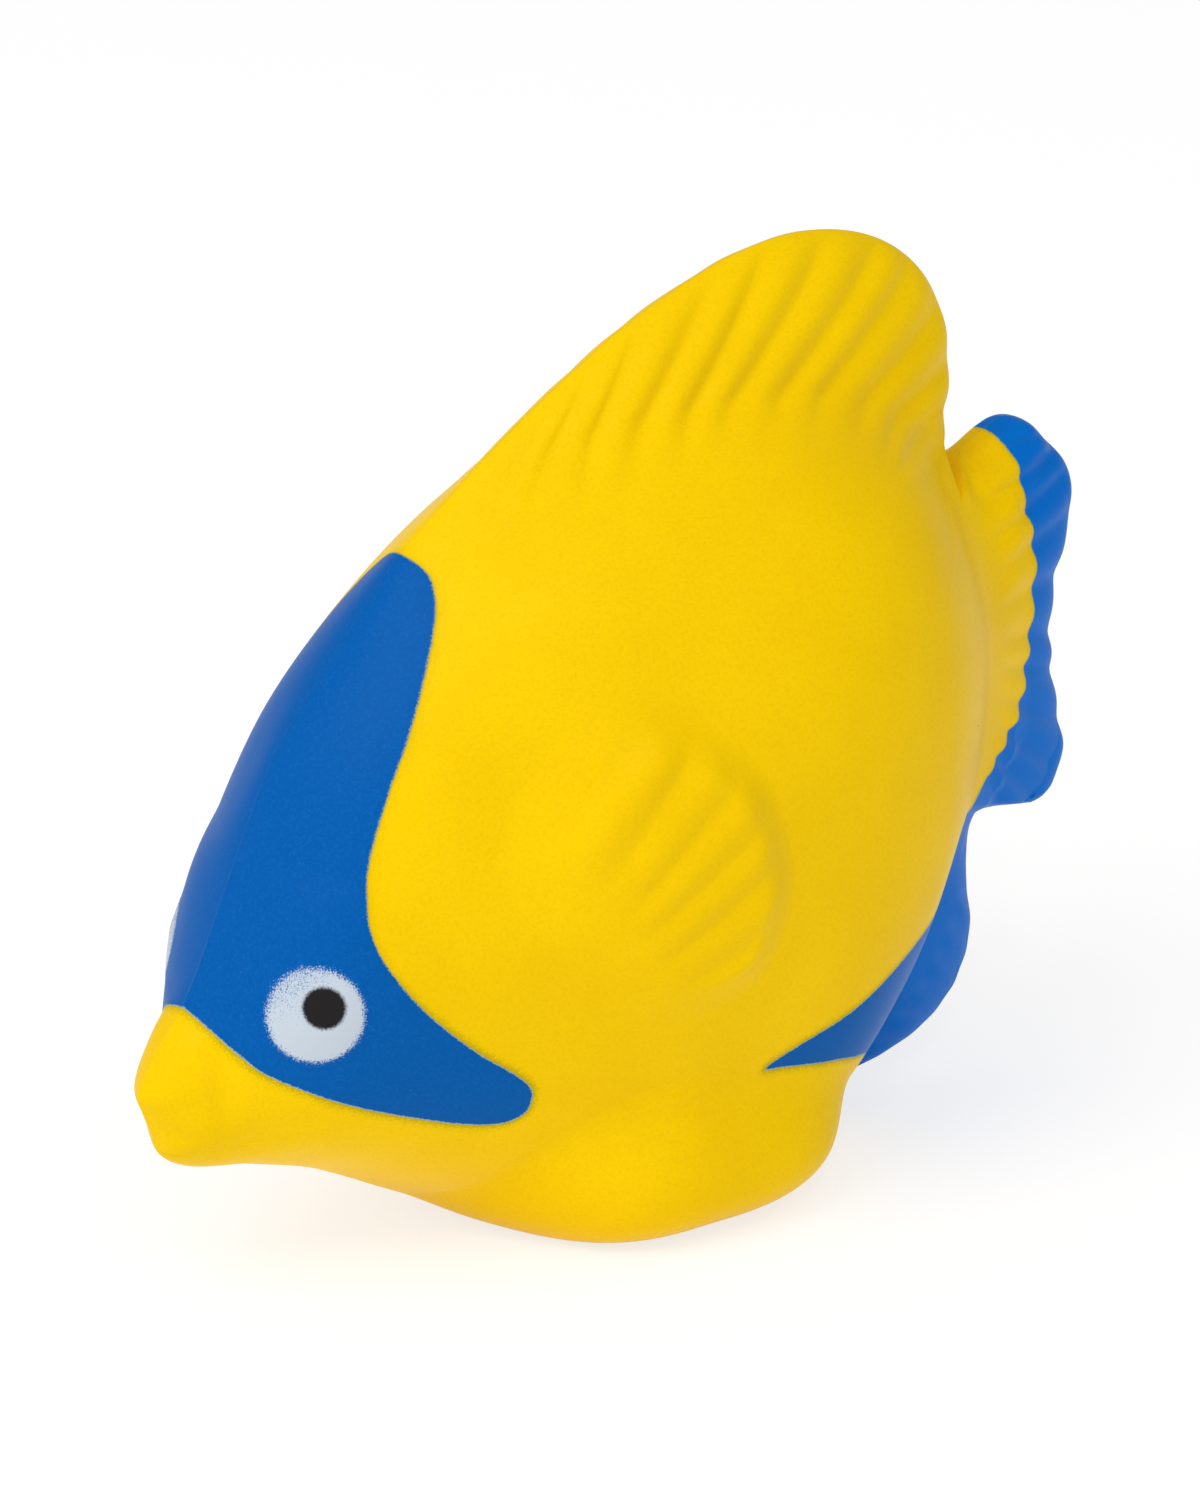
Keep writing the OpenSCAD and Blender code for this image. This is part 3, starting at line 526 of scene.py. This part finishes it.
class Coats:
    """Depths of the sprayed coats, which are distances inside their edges, and how thickly they lie."""

    FIELDS = ("blue_mm", "white_mm", "black_mm", "mist", "thick")

    def __init__(self, skin, paint):
        self.skin = skin
        self.eye_radius = paint.eye_size / MM / 2
        self.pupil_radius = paint.pupil_size / MM / 2
        self.mask, self.rear, self.band = (round_loop(loop) for loop in (MASK_LOOP, REAR_LOOP, BAND_LOOP))

    def blue(self, x, z, scallop=0.34, fade=(57, 51), fin_depth=3):
        """Depth of the blue: the greatest of the mask's, the rear belly's, the tail's and the anal fin's.

        The tail's blue edge is scalloped between the rays, fading in from the tail's top.
        """
        mask, rear, band = (inside_by(x, z, loop) for loop in (self.mask, self.rear, self.band))
        depth = np.maximum.reduce([mask, rear, band - scallop * scallops(x, z) * smooth_step(*fade, z)])
        on_fin = (from_anal_root(x, z)[1] > 0) & (z < ANAL_TOP) & (x > ANAL_FRONT)
        return np.where(on_fin, np.maximum(depth, fin_depth), depth)

    def fields(
            self, x, z, h, least_mist=0.3, mist_fade=(34, 22), least_white=0.6, slope=0.7,
            white_fade=(-3.2, 0.8)):
        """The blue, white and black depths, and the shares of the stray spray and of an eye's white.

        Spray grows towards the belly, and white down and back from an eye's upper front.
        """
        white = self.eye_radius - self.skin.from_eye(x, z, h, self.skin.eye_at)
        black = self.pupil_radius - self.skin.from_eye(x, z, h, self.skin.pupil_at)
        mist = least_mist + (1 - least_mist) * smooth_step(*mist_fade, z)
        down = slope * ((x - self.skin.EYE[0]) - (z - self.skin.EYE[1]))
        thick = least_white + (1 - least_white) * smooth_step(*white_fade, down)
        return dict(zip(self.FIELDS, (self.blue(x, z), white, black, mist, thick)))


def to_line(angle, normal, reach):
    """Radius at which a ray from the middle meets the line whose points p have normal . p = reach."""
    slope = normal[0] * np.cos(angle) + normal[1] * np.sin(angle)
    gap = reach - normal[0] * MIDDLE[0] - normal[1] * MIDDLE[1]
    return np.where(slope > LEAST, gap / np.maximum(slope, LEAST), FAR)


# Radii of the roots of the back fin, the tail and the anal fin, of the belly's level and of the sole
to_chord = partial(to_line, normal=(0, 1), reach=CHORD_Z)
to_tail = partial(to_line, normal=(1, 0), reach=TAIL_X)
to_anal = partial(to_line, normal=ANAL_OUT, reach=ANAL_OUT @ ANAL_ROOT[0])
to_belly = partial(to_line, normal=(0, -1), reach=-BELLY_Z)
to_sole = partial(to_line, normal=(0, -1), reach=0)


def crossing(first, second, low, high, halvings=50):
    """Angle between low and high, in degrees, at which two radii are equal, by halving."""
    low, high = radians(low), radians(high)
    sign = np.sign(first(np.array([low])) - second(np.array([low])))
    for _ in range(halvings):
        middle = (low + high) / 2
        same = np.sign(first(np.array([middle])) - second(np.array([middle]))) == sign
        low, high = (middle, high) if same else (low, middle)
    return low


class Cuts:
    """Angles at which the lines between pieces meet each other and the outline, and of all columns."""

    # Columns stand closer together between two angles, in degrees, where the outline before the tail runs
    # nearly straight out. A crossing is looked for between two angles as well.
    CLOSE = (27.4, 28.6)
    CLOSE_COLUMNS = 48

    def __init__(self, columns):
        self.back_rear = crossing(rim, to_chord, 25, 50)
        self.back_front = crossing(rim, to_chord, 90, 130)
        self.tail_top = crossing(rim, to_tail, 20, 35)
        self.notch = crossing(to_tail, to_anal, -35, -10)
        self.anal_front = crossing(rim, to_anal, -75, -45)
        self.belly_rear = crossing(to_belly, to_anal, -60, -20)
        self.lip = crossing(rim, to_belly, -165, -140)
        self.sole_front = crossing(rim, to_sole, -140, -100)
        self.sole_rear = crossing(rim, to_sole, -80, -55)
        cuts = list(vars(self).values())
        even = np.linspace(-pi, pi, columns, endpoint=False)
        close = np.radians(np.linspace(*self.CLOSE, self.CLOSE_COLUMNS))
        self.angles = np.unique(np.concatenate([even, close, cuts]))

    def between(self, low, high):
        """The columns from one angle to another, both kept."""
        return self.angles[(self.angles >= low - LEAST) & (self.angles <= high + LEAST)]


def places(angle, inner, outer, count, even=None, late=8):
    """Grid of places from an inner to an outer radius, closer together towards the outline, by a sine.

    Rows follow the even radius, where one is given, and take up the outer one late, by a power of their
    share, so that a notch in the outer one doesn't bend the inner rows.
    """
    t = np.sin(np.linspace(0, pi / 2, count))
    even = outer if even is None else even
    radius = inner[:, None] + (even - inner)[:, None] * t + (outer - even)[:, None] * t**late
    x = MIDDLE[0] + radius * np.cos(angle)[:, None]
    return x, MIDDLE[1] + radius * np.sin(angle)[:, None]


def join_columns(parts):
    """One grid from several, side by side."""
    points, normals = (np.concatenate([p[i] for p in parts], axis=1) for i in (0, 1))
    return points, normals, {k: np.concatenate([p[2][k] for p in parts], axis=1) for k in parts[0][2]}


def columns_of(grid, pick):
    """Some columns of a grid, in the order given."""
    return grid[0][:, pick], grid[1][:, pick], {k: v[:, pick] for k, v in grid[2].items()}


def flattened(grid, x=None, z=None):
    """A copy of a grid on the middle plane, moved to one place if that is given."""
    points = grid[0].copy()
    points[..., 1] = 0
    if x is not None:
        points[..., 0], points[..., 2] = x, z
    return points, grid[1], grid[2]


def grid_faces(rows, columns, wrap_rows, wrap_columns):
    """Four-sided faces between neighbouring points of a grid, closed round where it wraps."""
    i = np.arange(rows if wrap_rows else rows - 1)[:, None]
    j = np.arange(columns if wrap_columns else columns - 1)[None]
    at = [(i, j), (i + 1, j), (i + 1, j + 1), (i, j + 1)]
    return np.stack([(a % rows) * columns + b % columns for a, b in at], axis=-1).reshape(-1, 4)


def make_piece(name, grid, wrap_rows, material, weld=1e-4):
    """Closed object over a grid, with the normals of its formula.

    It wraps along its rows between two poles, or along its columns with flat ends.
    """
    points, normals, fields = grid
    rows, columns = points.shape[:2]
    faces = grid_faces(rows, columns, wrap_rows, not wrap_rows).tolist()
    if not wrap_rows:
        faces += [list(range(columns)), list(range((rows - 1) * columns, rows * columns))]
    mesh = bpy.data.meshes.new(name)
    mesh.from_pydata((points.reshape(-1, 3) * MM).tolist(), [], faces)
    for key, values in fields.items():
        field = mesh.attributes.new(key, "FLOAT", "POINT")
        field.data.foreach_set("value", values.ravel().astype(np.float32))
    skin = mesh.attributes.new("skin_normal", "FLOAT_VECTOR", "POINT")
    skin.data.foreach_set("vector", normals.ravel().astype(np.float32))
    shape = bmesh.new()
    shape.from_mesh(mesh)
    bmesh.ops.remove_doubles(shape, verts=shape.verts, dist=weld * MM)
    bmesh.ops.recalc_face_normals(shape, faces=shape.faces)
    shape.to_mesh(mesh)
    shape.free()
    mesh.shade_smooth()
    kept = np.empty(len(mesh.vertices) * 3, np.float32)
    mesh.attributes["skin_normal"].data.foreach_get("vector", kept)
    mesh.normals_split_custom_set_from_vertices(kept.reshape(-1, 3))
    mesh.attributes.remove(mesh.attributes["skin_normal"])
    mesh.materials.append(material)
    piece = bpy.data.objects.new(name, mesh)
    bpy.context.scene.collection.objects.link(piece)
    return piece


def linear(hex_colour):
    """Linear colour of an sRGB hex value: c / 12.92 where dark, else ((c + 0.055) / 1.055)^2.4."""
    value = np.array([int(hex_colour[i : i + 2], 16) for i in (0, 2, 4)]) / 255
    light = np.where(value <= 0.04045, value / 12.92, ((value + 0.055) / 1.055) ** 2.4)
    return (*light, 1.0)


def add(tree, kind, inputs=(), out=0, **settings):
    """Adds a node with its settings, links inputs that are sockets, sets the others and gives an output.

    The inputs are listed in order, or by their names or numbers.
    """
    node = tree.nodes.new("ShaderNode" + kind)
    for key, value in settings.items():
        setattr(node, key, value)
    for key, value in inputs.items() if isinstance(inputs, dict) else enumerate(inputs):
        if isinstance(value, bpy.types.NodeSocket):
            tree.links.new(value, node.inputs[key])
        else:
            node.inputs[key].default_value = value
    return node.outputs[out] if node.outputs else None


def new_material(name):
    """An empty material, and the function that adds nodes to it."""
    material = bpy.data.materials.new(name)
    material.use_nodes = True
    material.node_tree.nodes.clear()
    return material, partial(add, material.node_tree)


FOAM = "polyurethane_foam_moulded_sprayed"
# Noises of the foam's skin: size in millimetres, detail and roughness. The real grain is finer, and is
# drawn as coarse as it needs to show.
FINE_GRAIN = (0.16, 2.0, 0.5)
GRAIN = (0.3, 3.0, 0.6)
PATCHES = (14.0, 3.0, 0.5)
EYE_DABS = (0.14, 2.0, 0.5)
# Raggedness of a coat's edge, spacing of pin-holes, and where along the fish the blue turns to the tail's
RAGGED = 0.34
PIN_HOLE_CELL = 9.6
# The blue turns lighter towards the tail partly as thinner paint and partly as painted light
TAIL_BLUE_AND_LIGHT_FADE = (5, 36)
# Tones of the foam and its coats, and the painted shade of a pin-hole, as sRGB hex
YELLOW_PATCH = "F2C600"
YELLOW_GRAIN = "DFB200"
BLUE_GRAIN = "0C6AC0"
STRAY_SPRAY = "8C8A00"
THIN_BLUE = "5F7A20"
PALE_EDGE = "D9DDB8"
PIN_HOLE_PAINTED_SHADE = "5A4600"
# Settings of a mix of two colours, and of a ramp without corners
COLOURS = {"out": 2, "data_type": "RGBA"}
SMOOTH = {"interpolation_type": "SMOOTHSTEP"}


def sprayed_foam(paint):
    """Integral-skin polyurethane foam, moulded in yellow, with acrylic coats sprayed through stencils.

    The coats lie over each other in turn, each mixed in by its cover. A coat covers where its depth, made
    ragged by fine grain, is above zero. Stray spray is a speckle that thins out beside the blue. The blue
    grows lighter towards the tail, partly as thinner paint and partly as painted light. Grain, pin-holes
    and the mould's parting line are bumps of real height; the pin-holes are also darkened with painted
    shade.
    """
    # To the eye it is a satin skin of strong colour and very fine grain, with a weak soft sheen, and paint
    # whose edges are a little ragged and dusted
    material, node = new_material(FOAM)
    where = node("TexCoord", out="Object")
    along, across = (node("SeparateXYZ", [where], axis) for axis in "XY")
    fine, grain, patches, dabs = (
        node("TexNoise", {"Vector": where, "Scale": 1 / (size * MM), "Detail": detail, "Roughness": rough})
        for size, detail, rough in (FINE_GRAIN, GRAIN, PATCHES, EYE_DABS))
    blue_mm, white_mm, black_mm, mist, thick = (
        node("Attribute", out="Fac", attribute_name=name) for name in Coats.FIELDS)

    # The yellow: patches and grain. A ramp lists its value, its start and end, and what it gives at each.
    patchy = node("MapRange", [patches, 0.3, 0.7], **SMOOTH)
    grainy = node("MapRange", [grain, 0.42, 0.68, 0, 0.24], **SMOOTH)

    # The blue: its own tones, lighter towards the tail partly as thinner paint and partly as painted light,
    # its edge with a thin and a pale line, and the stray spray beside it
    tailward_blue_and_painted_light = node("MapRange", [along, *(place * MM for place in TAIL_BLUE_AND_LIGHT_FADE)], **SMOOTH)
    mottled = node("MapRange", [grain, 0.42, 0.72, 0, 0.34], **SMOOTH)
    blue = linear(paint.blue)
    for cover, tone in ((tailward_blue_and_painted_light, paint.tail_blue_and_painted_light), (mottled, BLUE_GRAIN)):
        blue = node("Mix", {0: cover, 6: blue, 7: linear(tone)}, **COLOURS)
    ragged = node("Math", [fine, RAGGED, -RAGGED / 2], operation="MULTIPLY_ADD")
    edge_mm = node("Math", [blue_mm, ragged], operation="ADD")
    edge = node("MapRange", [edge_mm, -0.06, 0.06], **SMOOTH)
    thin = node("MapRange", [blue_mm, -0.2, 0.05, 0, 0.6], **SMOOTH)
    off_edge = node("Math", [edge_mm], operation="ABSOLUTE")
    pale = node("MapRange", [off_edge, 0.1, 0.02, 0, 0.4], **SMOOTH)
    pale = node("Math", [pale, mist], operation="MULTIPLY")
    near = node("MapRange", [blue_mm, -paint.mist / MM, 0.25], **SMOOTH)
    near = node("Math", [near, 2], operation="POWER")
    speckle = node("Math", [near, 0.25, fine], operation="MULTIPLY_ADD")
    stray = node("MapRange", [speckle, 0.46, 0.66, 0, 0.75], **SMOOTH)
    for share in (near, mist):
        stray = node("Math", [stray, share], operation="MULTIPLY")

    # The eyes: dabs of white, thinner at the upper front, and a pupil with a ragged edge
    white = node("MapRange", [white_mm, -0.6, 0.8], **SMOOTH)
    white = node("Math", [white, thick], operation="MULTIPLY")
    white = node("Math", [dabs, 1.3, white], operation="MULTIPLY_ADD")
    eye = node("MapRange", [white, 0.9, 1.4], **SMOOTH)
    black = node("Math", [ragged, 1.1, black_mm], operation="MULTIPLY_ADD")
    pupil = node("MapRange", [black, -0.22, 0.18], **SMOOTH)

    # The mould: pin-holes, darkened with painted shade, the parting line and grain
    cells = node("TexVoronoi", {"Vector": where, "Scale": 1 / (PIN_HOLE_CELL * MM)}, "Distance")
    hole = node("MapRange", [cells, 0.016, 0.01], **SMOOTH)
    # Painted shade inside each pin-hole
    shade = node("Math", [hole, 0.7], operation="MULTIPLY")
    off_middle = node("Math", [across], operation="ABSOLUTE")
    seam = node("MapRange", [off_middle, 0.32 * MM, 0.05 * MM], **SMOOTH)
    height = 0.0
    for relief, amount in ((grain, 0.6), (fine, 0.35), (seam, 2.0), (hole, -4.0)):
        height = node("Math", [relief, amount, height], operation="MULTIPLY_ADD")

    colour = linear(YELLOW_PATCH)
    for cover, coat in (
            (patchy, linear(paint.yellow)), (grainy, linear(YELLOW_GRAIN)), (stray, linear(STRAY_SPRAY)),
            (thin, linear(THIN_BLUE)), (edge, blue), (pale, linear(PALE_EDGE)), (eye, linear(paint.white)),
            (pupil, linear(paint.black)), (shade, linear(PIN_HOLE_PAINTED_SHADE))):
        colour = node("Mix", {0: cover, 6: colour, 7: coat}, **COLOURS)
    satin = node("MapRange", [grain, 0.3, 0.7, 0.34, 0.42], **SMOOTH)
    bump = node("Bump", {"Height": height, "Strength": 1.0, "Distance": 0.02 * MM})
    shader = node("BsdfPrincipled", {
        "Base Color": colour, "Roughness": satin, "IOR": 1.46, "Specular IOR Level": 0.045, "Normal": bump})
    node("OutputMaterial", [shader])
    return material


# White paper's colour and added light, first as it lights the fish and then as it is looked at
PAPER_TONES = (("F7F7F7", 0.15), ("A2A2A2", 0.71))


def floor_paper():
    """White studio paper, pressed smooth: lifted a little where it is looked at, so that it stays white."""
    # To the eye it is a plain matt white that keeps only a soft shadow
    material, node = new_material("paper_pressed_white")
    lighting, looked_at = (
        node("AddShader", [node("BsdfDiffuse", [linear(tone)]), node("Emission", {"Strength": lift})])
        for tone, lift in PAPER_TONES)
    looking = 0.0
    for kind in ("Camera", "Glossy", "Transmission"):
        looking = node("Math", [node("LightPath", out=f"Is {kind} Ray"), looking], operation="ADD")
    node("OutputMaterial", [node("MixShader", [looking, lighting, looked_at])])
    return material


class Maker:
    """What every piece is made from: the skin, its coats, the cuts between pieces and the foam."""

    def __init__(self, scene):
        self.skin = Skin(scene.fish_skin)
        self.coats = Coats(self.skin, scene.fish_paint)
        self.cuts = Cuts(self.skin.columns)
        self.foam = bpy.data.materials.get(FOAM) or sprayed_foam(scene.fish_paint)

    def surface(self, x, z, side):
        """Points, normals and coat fields of one side of the skin over a grid of places."""
        h = self.skin.half(x, z)
        y = side * h
        return np.stack([x, y, z], axis=-1), self.skin.normal(x, z, y), self.coats.fields(x, z, h)

    def fin(self, name, low, high, root):
        """A fin: from its root out over the left side to the outline, and back over the right side."""
        a = self.cuts.between(low, high)
        x, z = places(a, root(a), np.maximum(rim(a), root(a)), self.skin.fin_rows)
        left, right = (self.surface(x, z, side) for side in SIDES.values())
        back = columns_of(right, list(range(self.skin.fin_rows - 2, -1, -1)))
        return make_piece(name, join_columns([left, back]), False, self.foam)


def finish_piece(piece, slot, *nodes):
    """Hides the solids that a foam piece stands for."""
    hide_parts(*nodes)


class FISH_OT_body(bpy.types.Operator):
    """Builds the two halves of the body, and under each the half of the belly and foot."""

    bl_idname = "fish.body"
    bl_label = "Build Body"

    # A flank gives between these distances from the middle plane
    GIVES = (12.5, 22.0)
    # Solids that each half of the body stands for
    SIDE_NODES = ("flank", "flank_foam", "pectoral_fin", "mask_coat", "rear_coat")

    def execute(self, context):
        maker = Maker(context.scene)
        for name, side in SIDES.items():
            self.body(maker, name, side)
            self.belly(maker, name, side)
        return {"FINISHED"}

    def body(self, maker, name, side):
        """Half of the body: from its middle out to the outline or to the nearest root, then flat back."""
        a = maker.cuts.angles
        reach = np.minimum.reduce([rim(a), to_chord(a), to_tail(a), to_anal(a), to_belly(a)])
        even = softened(lambda turns: np.interp(turns, a, reach, period=2 * pi), a)
        face = maker.surface(*places(a, 0 * a, reach, maker.skin.rows, even), side)
        last = flattened(columns_of(face, [-1]))
        pole = flattened(columns_of(face, [0]), *MIDDLE)
        piece = make_piece(f"body_{name}", join_columns([face, last, pole]), True, maker.foam)
        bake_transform(piece)
        nodes = [f"{node}_{name}" for node in self.SIDE_NODES]
        finish_piece(piece, "yellow_foam", *nodes, *(["trunk"] if side < 0 else []))

    def belly(self, maker, name, side):
        """Half of the belly and foot: from the belly's level down to the outline, the sole or the anal fin.
        """
        a = maker.cuts.between(maker.cuts.lip, maker.cuts.belly_rear)
        inner = to_belly(a)
        outer = np.maximum(np.minimum.reduce([rim(a), to_sole(a), to_anal(a)]), inner)
        face = maker.surface(*places(a, inner, outer, maker.skin.fin_rows), side)
        first, last = (flattened(columns_of(face, [i])) for i in (0, -1))
        piece = make_piece(f"belly_foot_{name}", join_columns([first, face, last]), False, maker.foam)
        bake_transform(piece)
        finish_piece(piece, "yellow_foam", *(["pelvic_foot"] if side < 0 else []))


class FISH_OT_fins(bpy.types.Operator):
    """Builds the back fin, the tail fin and the anal fin."""

    bl_idname = "fish.fins"
    bl_label = "Build Fins"

    # Widths of the bands at their roots over which the back fin and the tail bend
    DORSAL_BEND = 9
    TAIL_BEND = 8

    def execute(self, context):
        maker = Maker(context.scene)
        cuts = maker.cuts
        dorsal = maker.fin("dorsal_fin_skin", cuts.back_rear, cuts.back_front, to_chord)
        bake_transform(dorsal)
        finish_piece(dorsal, "yellow_foam", "dorsal_fin")
        tail = maker.fin("tail_fin_skin", cuts.notch, cuts.tail_top, to_tail)
        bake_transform(tail)
        finish_piece(tail, "yellow_foam", "tail_fin", "tail_band_left", "tail_band_right")
        anal = maker.fin("anal_fin_skin", cuts.anal_front, cuts.notch, to_anal)
        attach(anal, "body")
        finish_piece(anal, "blue_coat", "anal_fin")
        return {"FINISHED"}


class FISH_OT_eyes(bpy.types.Operator):
    """Builds the coats of the eyes and pupils, as thin lenses on the swell of the head."""

    bl_idname = "fish.eyes"
    bl_label = "Build Eyes"

    TURNS = 96
    RINGS = 28
    # Width over height of a lens, how deep it sits in the skin, and the power that keeps its face level
    OVAL = 0.86
    SINK = 0.25
    LEVEL = 8
    # Margin of a lens past its coat, and its lift off the skin
    EYE_LENS = (0.7, 0.05)
    PUPIL_LENS = (0.35, 0.09)

    def execute(self, context):
        maker = Maker(context.scene)
        skin, coats = maker.skin, maker.coats
        lenses = (
            ("eye", skin.eye_at, coats.eye_radius, self.EYE_LENS, "white_coat"),
            ("pupil", skin.pupil_at, coats.pupil_radius, self.PUPIL_LENS, "black_coat"),
        )
        for kind, centre, radius, (margin, lift), slot in lenses:
            for name, side in SIDES.items():
                grid = self.lens(maker, centre, radius + margin, lift, side)
                piece = make_piece(f"{kind}_coat_{name}", grid, True, maker.foam)
                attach(piece, "body")
                finish_piece(piece, slot, f"{kind}_{name}")
        return {"FINISHED"}

    def lens(self, maker, centre, radius, lift, side):
        """Grid over an oval on the skin: out over its face, which dips under at the rim, and back below."""
        a = np.linspace(0, 2 * pi, self.TURNS, endpoint=False)[:, None]
        t = np.linspace(0, 1, self.RINGS)[None]
        x = centre[0] + self.OVAL * radius * t * np.cos(a)
        z = centre[1] + radius * t * np.sin(a)
        points, normals, fields = maker.surface(x, z, side)
        over = lift * (1 - t**self.LEVEL * (1 + self.SINK / lift)) * np.ones_like(x)
        face = points + normals * over[..., None], normals, fields
        under = points - normals * self.SINK, -normals, fields
        return join_columns([face, columns_of(under, list(range(self.RINGS - 1, -1, -1)))])


class FISH_OT_stage(bpy.types.Operator):
    """Sets the floor, the light and the camera."""

    bl_idname = "fish.stage"
    bl_label = "Set Stage"

    # What the camera and the lights turn to, and the floor's side, in metres
    TARGET = Vector((-2, 0, 39)) * MM
    FLOOR = 6.0
    SENSOR = 36
    # Lights: how far towards the camera, to its right and up they stand from the target, and their diameter
    KEY = ((0.42, -0.34, 0.52), 0.55)
    FILL = ((0.55, 0.1, 0.44), 0.13)
    # Direction that the brighter sky lies in, and its fade along that
    BRIGHT_SIDE = (-0.92, -0.4, 0)
    BRIGHT_FADE = (-0.5, 0.5)

    def execute(self, context):
        stage = context.scene.fish_stage
        a, e = stage.azimuth, stage.elevation
        back = Vector((sin(a) * cos(e), -cos(a) * cos(e), sin(e)))
        axes = (back, Vector((cos(a), sin(a), 0)), Vector((0, 0, 1)))
        self.camera(context, stage, back)
        self.floor(context)
        self.sky(context, stage)
        self.light(context, "key_light", axes, *self.KEY, stage.key)
        self.light(context, "fill_light", axes, *self.FILL, stage.fill)
        context.scene.view_settings.view_transform = "Standard"
        return {"FINISHED"}

    def camera(self, context, stage, back):
        """Camera on the line from the target back towards the viewer."""
        data = bpy.data.cameras.new("camera")
        data.lens = stage.lens
        data.sensor_fit = "HORIZONTAL"
        data.sensor_width = self.SENSOR
        camera = bpy.data.objects.new("camera", data)
        camera.location = self.TARGET + back * stage.distance
        camera.rotation_euler = (-back).to_track_quat("-Z", "Y").to_euler()
        context.scene.collection.objects.link(camera)
        context.scene.camera = camera

    def floor(self, context):
        """Square of paper at the level of the sole."""
        half = self.FLOOR / 2
        corners = [(-half, -half, 0), (half, -half, 0), (half, half, 0), (-half, half, 0)]
        mesh = bpy.data.meshes.new("floor")
        mesh.from_pydata(corners, [], [(0, 1, 2, 3)])
        mesh.materials.append(floor_paper())
        floor = bpy.data.objects.new("floor", mesh)
        context.scene.collection.objects.link(floor)

    def sky(self, context, stage):
        """White all round, falling off behind the fish and towards its tail's end."""
        world = bpy.data.worlds.new("studio")
        world.use_nodes = True
        world.node_tree.nodes.clear()
        node = partial(add, world.node_tree)
        where = node("TexCoord", out="Generated")
        ahead = node("VectorMath", [where, self.BRIGHT_SIDE], "Value", operation="DOT_PRODUCT")
        strength = node("MapRange", [ahead, *self.BRIGHT_FADE, stage.sky_rear, stage.sky], **SMOOTH)
        node("OutputWorld", [node("Background", [linear("FFFFFF"), strength])])
        context.scene.world = world

    def light(self, context, name, axes, place, size, power):
        """Round soft light that looks at the target, placed by its distances along three axes."""
        offset = sum((axis * reach for axis, reach in zip(axes, place)), Vector())
        data = bpy.data.lights.new(name, "AREA")
        data.shape = "DISK"
        data.size = size
        data.energy = power
        light = bpy.data.objects.new(name, data)
        light.location = self.TARGET + offset
        light.rotation_euler = (-offset).to_track_quat("-Z", "Y").to_euler()
        context.scene.collection.objects.link(light)


class FISH_PT_panel(bpy.types.Panel):
    """Sizes, colours and steps of the fish."""

    bl_idname = "FISH_PT_panel"
    bl_label = "Tropical Fish"
    bl_space_type = "VIEW_3D"
    bl_region_type = "UI"
    bl_category = "Fish"

    def draw(self, context):
        for settings in (context.scene.fish_skin, context.scene.fish_paint, context.scene.fish_stage):
            box = self.layout.box()
            for name in settings.__annotations__:
                box.prop(settings, name)
        for operator in OPERATORS:
            self.layout.operator(operator.bl_idname)


OPERATORS = (FISH_OT_body, FISH_OT_fins, FISH_OT_eyes, FISH_OT_stage)
SETTINGS = {"fish_skin": FishSkin, "fish_paint": FishPaint, "fish_stage": FishStage}


def register():
    """Registers the classes, and hangs the settings on the scene."""
    for kind in (*SETTINGS.values(), *OPERATORS, FISH_PT_panel):
        bpy.utils.register_class(kind)
    for name, kind in SETTINGS.items():
        setattr(bpy.types.Scene, name, bpy.props.PointerProperty(type=kind))


def unregister():
    """Takes the settings off the scene, and the classes away in turn."""
    for name in SETTINGS:
        delattr(bpy.types.Scene, name)
    for kind in reversed((*SETTINGS.values(), *OPERATORS, FISH_PT_panel)):
        bpy.utils.unregister_class(kind)


def main():
    """Builds the fish and its stage."""
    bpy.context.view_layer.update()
    register()
    bpy.ops.fish.body()
    bpy.ops.fish.fins()
    bpy.ops.fish.eyes()
    bpy.ops.fish.stage()
    bpy.context.view_layer.update()


if __name__ == "__main__":
    main()
